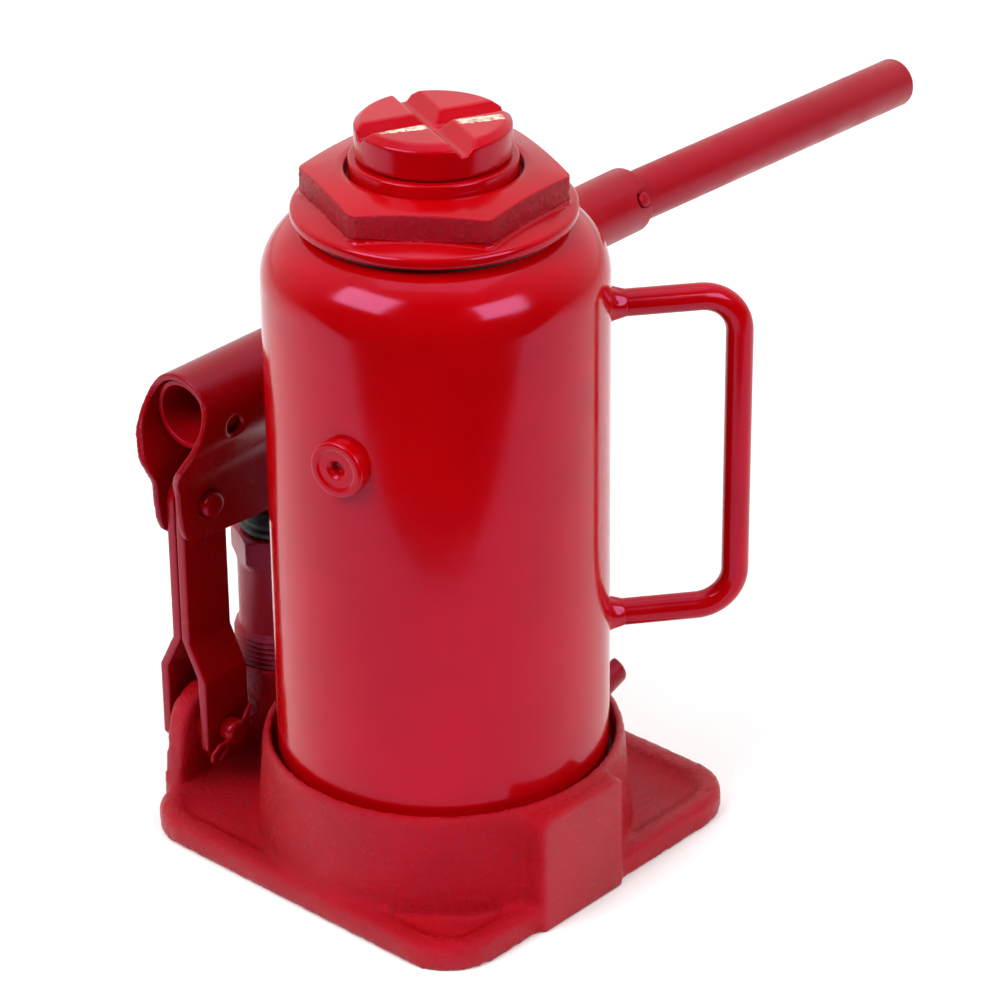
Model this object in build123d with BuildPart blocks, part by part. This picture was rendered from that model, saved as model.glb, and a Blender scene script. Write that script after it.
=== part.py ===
from build123d import *
import math
import os

# A hydraulic bottle jack. +Z is up, the origin is on the ram axis at the underside of the base.
# +X points along the lever towards its grip, and the pump stands on the +Y side of the tank.

# Driving dimensions, in millimetres
tank_radius = 55.0
tank_wall = 3.2
tank_foot = 35.5
shoulder_radius = 20.0
shoulder_start = 206.3
tank_mouth = 39.2

plate_front, plate_back = -65.4, 81.3
plate_right, plate_left = -63.4, 82.0
plate_corner = 20.0
rim_height = 9.0
rim_width = 8.0
plate_height = 7.0
collar_top = 43.5
collar_radius = 60.0
collar_foot_radius = 62.5
collar_bore = 57.0
core_top = 34.0
pad_face = -65.6
pad_front, pad_back = -24.0, 16.0
pad_top = 41.8

cylinder_bore = 30.0
cylinder_radius = 35.9
cylinder_foot = 23.5
cylinder_top = 226.0

ram_radius = 26.5
ram_foot = 48.0
ram_top = 247.0
thread_bore = 17.06
relief_bore = 19.3
relief_top = 205.0

nut_face = 243.4
nut_across_flats = 74.0
nut_turn = 6.2
nut_turned_radius = 42.0
nut_cone_start, nut_cone_end = 30.0, 241.0
flange_radius = 45.0
flange_rise = 233.2
flange_top = 231.0
flange_foot = 227.2
nut_bore = 27.8
running_gap = 0.05

screw_radius = 17.0
screw_foot = 140.0
saddle_radius = 24.6
saddle_foot = 247.3
saddle_edge = 257.0
saddle_top = 259.0
groove_depth = 4.0
groove_width = 8.8
groove_turn = 66.0

linkage_y = 81.2
lug_pin_x, lug_pin_z = -31.5, 27.5
fulcrum_x, fulcrum_z = -31.5, 112.0
pump_x = 6.0
plunger_pin_z = 108.0
pin_radius = 4.5
plunger_pin_radius = 4.0

link_thickness = 3.8
link_width = 19.6
link_top_offset = 2.1
link_bottom_offset = 9.0
link_bend_top, link_bend_bottom = 62.0, 49.0

socket_inner = 12.27
socket_sheet = 2.58
ear_gap = 8.2
ear_front = -44.5
ear_bottom = 98.4
socket_front, socket_back = -49.0, 52.0

# The lever rises slightly from its socket, and the grip tube sags in it by the play between them
lever_head = (-36.0, 143.65)
lever_rise = 0.97
lever_radius = 12.2
lever_bore = 10.05
lever_start, lever_end = -35.0, 188.0
grip_mouth = (188.0, 146.89)
grip_rise = -0.69
grip_radius = 9.45
grip_bore = 7.4
grip_start, grip_end = 150.0, 349.0
notch_turn = 23.0
notch_width = 7.2
notch_depth = 7.0

boss_radius = 18.5
boss_top = 40.0
pump_thread_radius = 16.5
pump_thread_foot, pump_thread_top = 28.0, 51.0
pump_body_radius = 14.5
pump_hex_flats = 29.0
pump_hex_bottom, pump_hex_top = 77.0, 87.0
pump_hex_turn = 3.3
plunger_radius = 7.0

valve_tilt = 20.0
valve_y = -2.0
valve_tip_x, valve_tip_z = 85.0, 29.0
valve_head_radius = 6.0
valve_head_length = 12.0
valve_stem_radius = 4.5
valve_stem_length = 43.5

handle_turn = -38.0
handle_reach = 98.0
handle_low, handle_high = 79.0, 191.0
handle_rod = 4.5
handle_bend = 13.0

plug_turn = -169.4
plug_height = 163.0
plug_radius = 9.4

os.makedirs("parts", exist_ok=True)


def upright(x, y, z=0.0):
    """A horizontal sketch plane centred on a point."""
    return Plane(origin=(x, y, z), z_dir=(0, 0, 1))


def across(x, y, z):
    """A plane facing +Y, with its local x along +X and its local y along +Z."""
    return Plane(origin=(x, y, z), x_dir=(1, 0, 0), z_dir=(0, -1, 0))


def along(x, y, z):
    """A plane facing +X, with its local x along +Y and its local y along +Z."""
    return Plane(origin=(x, y, z), x_dir=(0, 1, 0), z_dir=(1, 0, 0))


def lengthwise(x, point, rise):
    """A plane across a tube that leans by a rise in degrees and whose axis passes a point in x and z."""
    lean = math.radians(rise)
    z = point[1] + (x - point[0]) * math.tan(lean)
    return Plane(origin=(x, linkage_y, z), x_dir=(0, 1, 0), z_dir=(math.cos(lean), 0, math.sin(lean)))


def radial(turn, distance, z):
    """A plane facing away from the ram axis, its local y along +Z."""
    a = math.radians(turn)
    out = (math.cos(a), math.sin(a), 0)
    return Plane(origin=(distance * out[0], distance * out[1], z), x_dir=(-out[1], out[0], 0), z_dir=out)


def save(piece, name):
    """Labels a finished piece and writes it to its own file."""
    piece.part.label = name
    export_step(piece.part, "parts/" + name + ".step")


tilt = math.radians(valve_tilt)
valve_dir = (math.cos(tilt), 0, math.sin(tilt))


def valve_plane(back):
    """A plane across the release valve's axis, so far back from its tip."""
    x = valve_tip_x - back * valve_dir[0]
    z = valve_tip_z - back * valve_dir[2]
    return Plane(origin=(x, valve_y, z), x_dir=(0, 1, 0), z_dir=valve_dir)


def drilling(start, end):
    """A plane across a straight drilled hole, at its start, and the hole's length."""
    run = Vector(*end) - Vector(*start)
    return Plane(origin=start, z_dir=run.normalized()), run.length


# Base: one iron casting with plate, collar, milled pad, link lug, pump boss and valve boss
plate_length = plate_back - plate_front
plate_depth = plate_left - plate_right
plate_mid = ((plate_back + plate_front) / 2, (plate_left + plate_right) / 2)
pad_below = 6.0
lug_thickness = 8.0
lug_radius = 14.5
lug_boss_radius = 7.0
lug_boss_length = 14.0
valve_boss_radius = 9.0
valve_boss_back = 22.5
valve_boss_length = 18.0
pump_well_foot = 20.0
seat_floor = cylinder_foot - 1.5
suction_x, suction_y = 14.0, 42.5
overload_x, overload_y = -38.0, -20.0
overload_bore = 4.0
overload_floor = 14.0
return_x = 46.0
return_z = 14.0
gallery_z = 11.0
gallery_top = 12.5
gallery_radius = 2.0
seat_hole_radius = 1.5

drillings = (
    # Suction: down from the tank, across under the pump and up through its ball seat
    ((suction_x, suction_y, core_top + 1.0), (suction_x, suction_y, 13.0), gallery_radius),
    ((suction_x, suction_y, 14.0), (pump_x, linkage_y, 14.0), gallery_radius),
    ((pump_x, linkage_y, 13.0), (pump_x, linkage_y, pump_well_foot + 1.0), seat_hole_radius),
    # Delivery: sloping from the pump well to the foot of the centre well
    ((pump_x, linkage_y - 2.0, 24.0), (0, 0, gallery_top), seat_hole_radius),
    ((0, 0, gallery_top - 1.5), (0, 0, 18.0), seat_hole_radius),
    # Overload: across to its own ball seat, and return: from the cylinder to the release valve
    ((0, 0, gallery_z), (overload_x, overload_y, gallery_z), seat_hole_radius),
    ((overload_x, overload_y, gallery_z), (overload_x, overload_y, overload_floor + 1.0), seat_hole_radius),
    ((20.0, valve_y, seat_floor + 1.0), (20.0, valve_y, return_z - 1.0), gallery_radius),
    ((20.0, valve_y, return_z), (return_x - 1.0, valve_y, return_z), gallery_radius),
    ((return_x, valve_y, return_z + 1.0), (return_x, valve_y, core_top + 1.0), gallery_radius),
)

with BuildPart() as base_casting:
    with BuildSketch(upright(*plate_mid)):
        RectangleRounded(plate_length, plate_depth, plate_corner)
    extrude(amount=rim_height)
    chamfer(base_casting.faces().sort_by(Axis.Z)[-1].edges(), 1.4)
    with BuildSketch(upright(*plate_mid, plate_height)):
        RectangleRounded(plate_length - 2 * rim_width, plate_depth - 2 * rim_width, plate_corner - rim_width)
    extrude(amount=rim_height, mode=Mode.SUBTRACT)
    with BuildSketch(Plane.XZ):
        with BuildLine():
            Polyline((0, 0), (collar_foot_radius, 0), (collar_foot_radius, 10.0),
                     (collar_radius, collar_top - 2.5), (collar_radius - 1.3, collar_top), (0, collar_top), (0, 0))
        make_face()
    revolve(axis=Axis.Z)
    with BuildSketch(across((pad_front + pad_back) / 2, pad_face, (pad_top - pad_below) / 2)):
        RectangleRounded(pad_back - pad_front, pad_top + pad_below, 4.0)
    extrude(amount=-(abs(pad_face) / 2))
    with BuildSketch(upright(pump_x, linkage_y)):
        Circle(boss_radius)
    extrude(amount=boss_top)
    with BuildSketch(upright(pump_x, linkage_y / 2 + 15.0)):
        Rectangle(26.0, linkage_y - 30.0)
    extrude(amount=core_top - 2.0)
    with BuildSketch(across(0, linkage_y - lug_thickness / 2, 0)):
        with BuildLine():
            Polyline((-49.0, 0), (-10.0, 0), (-15.0, 20.0), (lug_pin_x + lug_radius, lug_pin_z),
                     (lug_pin_x - lug_radius, lug_pin_z), (-49.0, 8.0), (-49.0, 0))
        make_face()
        with Locations((lug_pin_x, lug_pin_z)):
            Circle(lug_radius)
    extrude(amount=-lug_thickness)
    with BuildSketch(across(lug_pin_x, linkage_y - lug_boss_length / 2, lug_pin_z)):
        Circle(lug_boss_radius)
    extrude(amount=-lug_boss_length)
    with BuildSketch(valve_plane(valve_boss_back)):
        Circle(valve_boss_radius)
    extrude(amount=-valve_boss_length)
    split(bisect_by=Plane.XY, keep=Keep.TOP)
    with BuildSketch(upright(0, 0, core_top)):
        Circle(collar_bore)
    extrude(amount=collar_top, mode=Mode.SUBTRACT)
    with BuildSketch(upright(0, 0, seat_floor)):
        Circle(cylinder_radius + running_gap)
    extrude(amount=collar_top, mode=Mode.SUBTRACT)
    with BuildSketch(upright(0, 0, 16.0)):
        Circle(5.0)
    extrude(amount=seat_floor, mode=Mode.SUBTRACT)
    with BuildSketch(upright(pump_x, linkage_y, pump_thread_foot - 2.0)):
        Circle(pump_thread_radius + running_gap)
    extrude(amount=boss_top, mode=Mode.SUBTRACT)
    with BuildSketch(upright(pump_x, linkage_y, pump_well_foot)):
        Circle(4.0)
    extrude(amount=boss_top, mode=Mode.SUBTRACT)
    with BuildSketch(across(lug_pin_x, 0, lug_pin_z)):
        Circle(pin_radius + running_gap)
    extrude(amount=-2 * linkage_y, mode=Mode.SUBTRACT)
    with BuildSketch(valve_plane(0)):
        Circle(valve_stem_radius + running_gap)
    extrude(amount=-valve_stem_length - 0.5, mode=Mode.SUBTRACT)
    with BuildSketch(upright(overload_x, overload_y, overload_floor)):
        Circle(overload_bore)
    extrude(amount=collar_top, mode=Mode.SUBTRACT)
    for start, end, radius in drillings:
        hole_plane, hole_length = drilling(start, end)
        with BuildSketch(hole_plane):
            Circle(radius)
        extrude(amount=hole_length, mode=Mode.SUBTRACT)
save(base_casting, "base_casting")

# Oil tank: a drawn steel tube with a rounded shoulder and a filler hole
inner_tank = tank_radius - tank_wall
shoulder_centre = tank_radius - shoulder_radius
lip_reach = tank_mouth - shoulder_centre
shoulder_inner = shoulder_radius - tank_wall
lip_top = shoulder_start + math.sqrt(shoulder_radius ** 2 - lip_reach ** 2)
lip_bottom = shoulder_start + math.sqrt(shoulder_inner ** 2 - lip_reach ** 2)
half_outer = math.acos(lip_reach / shoulder_radius) / 2
half_inner = math.acos(lip_reach / shoulder_inner) / 2
filler_neck_radius = 6.0
with BuildPart() as oil_tank:
    with BuildSketch(Plane.XZ):
        with BuildLine():
            Line((inner_tank, tank_foot), (tank_radius, tank_foot))
            Line((tank_radius, tank_foot), (tank_radius, shoulder_start))
            ThreePointArc(
                (tank_radius, shoulder_start),
                (shoulder_centre + shoulder_radius * math.cos(half_outer),
                 shoulder_start + shoulder_radius * math.sin(half_outer)),
                (tank_mouth, lip_top))
            Line((tank_mouth, lip_top), (tank_mouth, lip_bottom))
            ThreePointArc(
                (tank_mouth, lip_bottom),
                (shoulder_centre + shoulder_inner * math.cos(half_inner),
                 shoulder_start + shoulder_inner * math.sin(half_inner)),
                (inner_tank, shoulder_start))
            Line((inner_tank, shoulder_start), (inner_tank, tank_foot))
        make_face()
    revolve(axis=Axis.Z)
    with BuildSketch(radial(plug_turn, inner_tank - 5.0, plug_height)):
        Circle(filler_neck_radius + 0.02)
    extrude(amount=15.0, mode=Mode.SUBTRACT)
save(oil_tank, "oil_tank")

# Flat gaskets under the tank and between its mouth and the top nut
with BuildPart() as tank_foot_gasket:
    with BuildSketch(upright(0, 0, core_top)):
        Circle(tank_radius + 0.5)
        Circle(inner_tank - 1.8, mode=Mode.SUBTRACT)
    extrude(amount=tank_foot - core_top)
save(tank_foot_gasket, "tank_foot_gasket")

with BuildPart() as tank_mouth_gasket:
    with BuildSketch(upright(0, 0, lip_top)):
        Circle(42.5)
        Circle(cylinder_radius + 0.9, mode=Mode.SUBTRACT)
    extrude(amount=flange_foot - lip_top)
save(tank_mouth_gasket, "tank_mouth_gasket")

# Working cylinder: a thick steel tube standing on a soft washer in the base
neck_radius = 32.95
neck_foot = 203.0
with BuildPart() as cylinder_tube:
    with BuildSketch(upright(0, 0, cylinder_foot)):
        Circle(cylinder_radius)
        Circle(cylinder_bore, mode=Mode.SUBTRACT)
    extrude(amount=cylinder_top - cylinder_foot)
    with BuildSketch(upright(0, 0, neck_foot - 1.0)):
        Circle(neck_radius + running_gap)
    extrude(amount=cylinder_top, mode=Mode.SUBTRACT)
save(cylinder_tube, "cylinder_tube")

with BuildPart() as cylinder_washer:
    with BuildSketch(upright(0, 0, seat_floor)):
        Circle(cylinder_radius - 0.2)
        Circle(cylinder_bore + 0.5, mode=Mode.SUBTRACT)
    extrude(amount=1.5)
save(cylinder_washer, "cylinder_washer")

# Top nut: round flange, chamfered hexagon and a neck that screws into the cylinder
hex_radius = nut_across_flats / math.sqrt(3)
face_radius = nut_across_flats / 2
gland_foot, gland_top = 214.0, 224.0
wiper_foot, wiper_top = 231.0, 237.0
wiper_outer = 30.0
recess_foot = nut_face - 4.0
with BuildPart() as top_nut:
    with BuildSketch(upright(0, 0, flange_foot)):
        RegularPolygon(hex_radius, 6, rotation=nut_turn)
    extrude(amount=nut_face - flange_foot)
    with BuildSketch(Plane.XZ):
        with BuildLine():
            Polyline((0, neck_foot), (nut_turned_radius, neck_foot), (nut_turned_radius, nut_cone_end),
                     (nut_cone_start, nut_face), (0, nut_face), (0, neck_foot))
        make_face()
    revolve(axis=Axis.Z, mode=Mode.INTERSECT)
    with BuildSketch(Plane.XZ):
        with BuildLine():
            Polyline((0, neck_foot), (neck_radius, neck_foot), (neck_radius, flange_foot),
                     (flange_radius - 1.0, flange_foot), (flange_radius, flange_foot + 1.0),
                     (flange_radius, flange_top - 1.4), (flange_radius - 1.4, flange_top),
                     (face_radius - 1.0, flange_rise), (0, flange_rise), (0, neck_foot))
        make_face()
    revolve(axis=Axis.Z)
    with BuildSketch(upright(0, 0, neck_foot)):
        Circle(ram_radius + running_gap)
    extrude(amount=nut_face, mode=Mode.SUBTRACT)
    for foot, top, radius in ((gland_foot, gland_top, wiper_outer), (wiper_foot, wiper_top, wiper_outer),
                              (recess_foot, nut_face + 1.0, nut_bore)):
        with BuildSketch(upright(0, 0, foot)):
            Circle(radius)
        extrude(amount=top - foot, mode=Mode.SUBTRACT)
save(top_nut, "top_nut")

with BuildPart() as ram_gland_seal:
    with BuildSketch(upright(0, 0, gland_foot + 0.2)):
        Circle(wiper_outer - 0.1)
        Circle(ram_radius + 0.3, mode=Mode.SUBTRACT)
    extrude(amount=gland_top - gland_foot - 0.4)
save(ram_gland_seal, "ram_gland_seal")

with BuildPart() as ram_wiper:
    with BuildSketch(upright(0, 0, wiper_foot + 0.2)):
        Circle(wiper_outer - 0.1)
        Circle(ram_radius + 0.3, mode=Mode.SUBTRACT)
    extrude(amount=wiper_top - wiper_foot - 0.4)
save(ram_wiper, "ram_wiper")

# Ram: a turned bar with a threaded mouth, and the piston head screwed on its foot
spigot_radius = 12.0
spigot_foot = 32.0
ram_floor = 96.0
with BuildPart() as ram:
    with BuildSketch(upright(0, 0, ram_foot)):
        Circle(ram_radius)
    extrude(amount=ram_top - ram_foot)
    chamfer(ram.faces().sort_by(Axis.Z)[-1].edges(), 0.8)
    with BuildSketch(upright(0, 0, spigot_foot)):
        Circle(spigot_radius)
    extrude(amount=ram_foot - spigot_foot)
    with BuildSketch(upright(0, 0, relief_top)):
        Circle(thread_bore)
    extrude(amount=ram_top, mode=Mode.SUBTRACT)
    with BuildSketch(upright(0, 0, ram_floor)):
        Circle(relief_bore)
    extrude(amount=relief_top - ram_floor, mode=Mode.SUBTRACT)
save(ram, "ram")

piston_foot, piston_top = 38.0, 48.0
cup_foot, cup_top = 31.0, 38.0
with BuildPart() as piston_head:
    with BuildSketch(upright(0, 0, piston_foot)):
        Circle(cylinder_bore - running_gap)
        Circle(spigot_radius + 0.02, mode=Mode.SUBTRACT)
    extrude(amount=piston_top - piston_foot)
save(piston_head, "piston_head")

with BuildPart() as piston_cup:
    with BuildSketch(upright(0, 0, cup_foot + 1.0)):
        Circle(cylinder_bore - 0.3)
        Circle(spigot_radius + 5.0, mode=Mode.SUBTRACT)
    extrude(amount=cup_top - cup_foot - 1.0)
    with BuildSketch(upright(0, 0, cup_foot + 4.0)):
        Circle(cylinder_bore - 0.3)
        Circle(spigot_radius + 0.1, mode=Mode.SUBTRACT)
    extrude(amount=cup_top - cup_foot - 4.0)
save(piston_cup, "piston_cup")

with BuildPart() as piston_nut:
    with BuildSketch(upright(0, 0, cup_foot - 1.0)):
        RegularPolygon(spigot_radius + 4.5, 6)
        Circle(spigot_radius + 0.02, mode=Mode.SUBTRACT)
    extrude(amount=5.0)
save(piston_nut, "piston_nut")

# Extension screw and the grooved saddle on its head, with a stop ring near its foot
ring_foot, ring_top = 142.0, 145.0
ring_groove = 15.8
saddle_spigot = 10.0
spigot_depth = 5.0
with BuildPart() as extension_screw:
    with BuildSketch(upright(0, 0, screw_foot)):
        Circle(screw_radius)
    extrude(amount=saddle_foot - screw_foot)
    chamfer(extension_screw.faces().sort_by(Axis.Z)[0].edges(), 1.5)
    with BuildSketch(upright(0, 0, ring_foot - 0.2)):
        Circle(screw_radius + 1.0)
        Circle(ring_groove, mode=Mode.SUBTRACT)
    extrude(amount=ring_top - ring_foot + 0.4, mode=Mode.SUBTRACT)
    with BuildSketch(upright(0, 0, saddle_foot - spigot_depth)):
        Circle(saddle_spigot + 0.02)
    extrude(amount=saddle_foot, mode=Mode.SUBTRACT)
save(extension_screw, "extension_screw")

with BuildPart() as screw_stop_ring:
    with BuildSketch(upright(0, 0, ring_foot)):
        Circle(relief_bore - 0.3)
        Circle(ring_groove + 0.3, mode=Mode.SUBTRACT)
        with Locations((relief_bore, 0)):
            Rectangle(12.0, 3.0, mode=Mode.SUBTRACT)
    extrude(amount=ring_top - ring_foot)
save(screw_stop_ring, "screw_stop_ring")

with BuildPart() as saddle:
    with BuildSketch(Plane.XZ):
        with BuildLine():
            Polyline((0, saddle_foot - spigot_depth + 0.2), (saddle_spigot, saddle_foot - spigot_depth + 0.2),
                     (saddle_spigot, saddle_foot), (saddle_radius - 0.8, saddle_foot),
                     (saddle_radius, saddle_foot + 0.8), (saddle_radius, saddle_edge),
                     (saddle_radius - 2.4, saddle_top), (0, saddle_top),
                     (0, saddle_foot - spigot_depth + 0.2))
        make_face()
    revolve(axis=Axis.Z)
    for turn in (groove_turn, groove_turn - 90.0):
        with BuildSketch(radial(turn, -saddle_radius - 2.0, saddle_top)):
            with BuildLine():
                Polyline((-groove_width / 2, 0.5), (-groove_width / 2, 0), (-1.2, -groove_depth),
                         (1.2, -groove_depth), (groove_width / 2, 0), (groove_width / 2, 0.5),
                         (-groove_width / 2, 0.5))
            make_face()
        extrude(amount=2 * saddle_radius + 4.0, mode=Mode.SUBTRACT)
save(saddle, "saddle")

# Carry handle: one bent rod welded to the tank at both ends
handle_side = radial(handle_turn + 90.0, 0, 0)
with BuildPart() as carry_handle:
    with BuildLine(handle_side) as handle_path:
        FilletPolyline((-(tank_radius - 2.0), handle_high), (-handle_reach, handle_high),
                       (-handle_reach, handle_low), (-(tank_radius - 2.0), handle_low), radius=handle_bend)
    with BuildSketch(Plane(origin=handle_path.line @ 0, z_dir=handle_path.line % 0)):
        Circle(handle_rod)
    sweep(path=handle_path.line)
    with BuildSketch(upright(0, 0)):
        Circle(tank_radius + 0.02)
    extrude(amount=cylinder_top, mode=Mode.SUBTRACT)
save(carry_handle, "carry_handle")

weld_leg = 2.6
weld_length = 6.0
with BuildPart() as carry_handle_welds:
    for height in (handle_low, handle_high):
        with BuildSketch(radial(handle_turn, tank_radius - 1.2, height)):
            Circle(handle_rod + weld_leg)
        extrude(amount=weld_length + 1.2, taper=20)
        with BuildSketch(radial(handle_turn, 0, height)):
            Circle(handle_rod + 0.01)
        extrude(amount=handle_reach, mode=Mode.SUBTRACT)
    with BuildSketch(upright(0, 0)):
        Circle(tank_radius + 0.02)
    extrude(amount=cylinder_top, mode=Mode.SUBTRACT)
save(carry_handle_welds, "carry_handle_welds")

# Oil filler plug: a rubber button with a neck that snaps into the tank wall
plug_height_out = 4.4
with BuildPart() as filler_plug:
    with BuildSketch(radial(plug_turn, tank_radius - 1.5, plug_height)):
        Circle(plug_radius)
    extrude(amount=plug_height_out + 1.5)
    fillet(filler_plug.edges().filter_by(GeomType.CIRCLE).sort_by(Axis.X)[0], 1.8)
    with BuildSketch(upright(0, 0, plug_height - 20.0)):
        Circle(tank_radius + 0.02)
    extrude(amount=40.0, mode=Mode.SUBTRACT)
    with BuildSketch(radial(plug_turn, inner_tank - 4.0, plug_height)):
        Circle(filler_neck_radius)
    extrude(amount=tank_wall + 5.5)
    with BuildSketch(radial(plug_turn, inner_tank - 3.5, plug_height)):
        Circle(filler_neck_radius + 1.0)
        Circle(filler_neck_radius - 0.5, mode=Mode.SUBTRACT)
    extrude(amount=2.0)
    with BuildSketch(radial(plug_turn, tank_radius - 1.0, plug_height)):
        Circle(1.9)
    extrude(amount=10.0, mode=Mode.SUBTRACT)
save(filler_plug, "filler_plug")

# Pump: a hexagon-headed cylinder screwed into the boss, with its plunger and seals
counterbore_radius = 10.5
counterbore_foot = 78.0
plunger_foot = 36.0
shoulder_hex = pump_hex_flats / math.sqrt(3)
with BuildPart() as pump_cylinder:
    with BuildSketch(upright(pump_x, linkage_y, pump_thread_foot)):
        Circle(pump_thread_radius)
    extrude(amount=pump_thread_top - pump_thread_foot)
    chamfer(pump_cylinder.faces().sort_by(Axis.Z)[-1].edges(), 1.0)
    with BuildSketch(upright(pump_x, linkage_y, pump_thread_top)):
        Circle(pump_body_radius)
    extrude(amount=pump_hex_bottom - pump_thread_top)
    with BuildSketch(upright(pump_x, linkage_y, pump_hex_bottom)):
        RegularPolygon(shoulder_hex, 6, rotation=pump_hex_turn)
    extrude(amount=pump_hex_top - pump_hex_bottom)
    with BuildSketch(upright(pump_x, linkage_y, pump_thread_foot)):
        Circle(plunger_radius + running_gap)
    extrude(amount=pump_hex_top, mode=Mode.SUBTRACT)
    with BuildSketch(upright(pump_x, linkage_y, counterbore_foot)):
        Circle(counterbore_radius)
    extrude(amount=pump_hex_top, mode=Mode.SUBTRACT)
save(pump_cylinder, "pump_cylinder")

with BuildPart() as pump_washer:
    with BuildSketch(upright(pump_x, linkage_y, pump_thread_foot - 2.0)):
        Circle(pump_thread_radius - 0.3)
        Circle(plunger_radius + 1.0, mode=Mode.SUBTRACT)
    extrude(amount=2.0)
save(pump_washer, "pump_washer")

with BuildPart() as pump_packing:
    with BuildSketch(upright(pump_x, linkage_y, counterbore_foot)):
        Circle(counterbore_radius - 0.05)
        Circle(plunger_radius + 0.3, mode=Mode.SUBTRACT)
    extrude(amount=6.0)
save(pump_packing, "pump_packing")

wiper_cap_radius = 13.0
wiper_cap_top = 95.5
with BuildPart() as pump_dust_seal:
    with BuildSketch(upright(pump_x, linkage_y, pump_hex_top)):
        Circle(wiper_cap_radius)
        Circle(plunger_radius + 0.3, mode=Mode.SUBTRACT)
    extrude(amount=wiper_cap_top - pump_hex_top)
    chamfer(pump_dust_seal.faces().sort_by(Axis.Z)[-1].edges().sort_by(SortBy.LENGTH)[-1], 2.5)
save(pump_dust_seal, "pump_dust_seal")

tongue_thickness = 7.8
tongue_width = 16.0
tongue_foot, tongue_top = 98.5, 116.0
slot_play = 1.6
hole_play = 0.5
plunger_flats = 88.0
with BuildPart() as pump_plunger:
    with BuildSketch(upright(pump_x, linkage_y, plunger_foot)):
        Circle(plunger_radius)
    extrude(amount=tongue_foot + 1.0 - plunger_foot)
    with BuildSketch(across(pump_x, linkage_y - plunger_radius, (tongue_foot + tongue_top) / 2)):
        RectangleRounded(tongue_width, tongue_top - tongue_foot, 5.0)
    extrude(amount=-2 * plunger_radius)
    with BuildSketch(upright(pump_x, linkage_y, plunger_flats)):
        Rectangle(2 * tongue_width, 2 * tongue_width)
        Rectangle(2 * tongue_width, tongue_thickness, mode=Mode.SUBTRACT)
    extrude(amount=tongue_top, mode=Mode.SUBTRACT)
    with BuildSketch(across(pump_x, linkage_y - tongue_thickness, plunger_pin_z)):
        SlotOverall(2 * (slot_play + plunger_pin_radius + hole_play), 2 * (plunger_pin_radius + hole_play))
    extrude(amount=-2 * tongue_thickness, mode=Mode.SUBTRACT)
save(pump_plunger, "pump_plunger")

# Link plates: two strips that run side by side and spread to straddle the lug
link_end = link_width / 2


def link_profile(side):
    """The strip seen edge-on, as a closed outline in the plane across +X."""
    a, b, t = side * link_top_offset, side * link_bottom_offset, link_thickness / 2
    top, low = fulcrum_z + link_end, lug_pin_z - link_end - 0.5
    return [(a - t, top), (a - t, link_bend_top), (b - t, link_bend_bottom), (b - t, low),
            (b + t, low), (b + t, link_bend_bottom), (a + t, link_bend_top), (a + t, top), (a - t, top)]


for side, name in ((-1, "link_plate_near"), (1, "link_plate_far")):
    with BuildPart() as link_plate:
        with BuildSketch(along(lug_pin_x - link_end, linkage_y, 0)):
            with BuildLine():
                Polyline(*link_profile(side))
            make_face()
        extrude(amount=link_width)
        with BuildSketch(across(0, 0, 0)):
            with BuildLine():
                Polyline((lug_pin_x - link_end, lug_pin_z - 5.0), (lug_pin_x - 5.5, lug_pin_z - link_end - 1.0),
                         (lug_pin_x + 5.5, lug_pin_z - link_end - 1.0), (lug_pin_x + link_end, lug_pin_z - 5.0),
                         (lug_pin_x + link_end, fulcrum_z), (lug_pin_x - link_end, fulcrum_z),
                         (lug_pin_x - link_end, lug_pin_z - 5.0))
            make_face()
            with Locations((fulcrum_x, fulcrum_z)):
                Circle(link_end)
        extrude(amount=-2 * linkage_y, mode=Mode.INTERSECT)
        with BuildSketch(across(0, 0, 0)):
            with Locations((fulcrum_x, fulcrum_z), (lug_pin_x, lug_pin_z)):
                Circle(pin_radius + running_gap)
        extrude(amount=-2 * linkage_y, mode=Mode.SUBTRACT)
    save(link_plate, name)

# Lug pin: a plain head on its far side and one split pin through its near end
lug_pin_near = 16.6
lug_pin_head_at = 11.2
lug_pin_head_radius = 6.0
lug_pin_head_height = 2.4
cotter_y = 14.4
cotter_radius = 1.5
cotter_turn = 34.0
turn = math.radians(cotter_turn)
cotter_dir = (math.cos(turn), 0, math.sin(turn))
cotter_centre = (lug_pin_x, linkage_y - cotter_y, lug_pin_z)
with BuildPart() as lug_pin:
    with BuildSketch(across(lug_pin_x, linkage_y - lug_pin_near, lug_pin_z)):
        Circle(pin_radius)
    extrude(amount=-(lug_pin_near + lug_pin_head_at + 1.0))
    chamfer(lug_pin.faces().sort_by(Axis.Y)[0].edges(), 0.8)
    with BuildSketch(across(lug_pin_x, linkage_y + lug_pin_head_at, lug_pin_z)):
        Circle(lug_pin_head_radius)
    extrude(amount=-lug_pin_head_height)
    chamfer(lug_pin.faces().sort_by(Axis.Y)[-1].edges(), 0.6)
    with BuildSketch(Plane(origin=cotter_centre, z_dir=cotter_dir)):
        Circle(cotter_radius + 0.02)
    extrude(amount=2 * pin_radius, both=True, mode=Mode.SUBTRACT)
save(lug_pin, "lug_pin")

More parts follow.
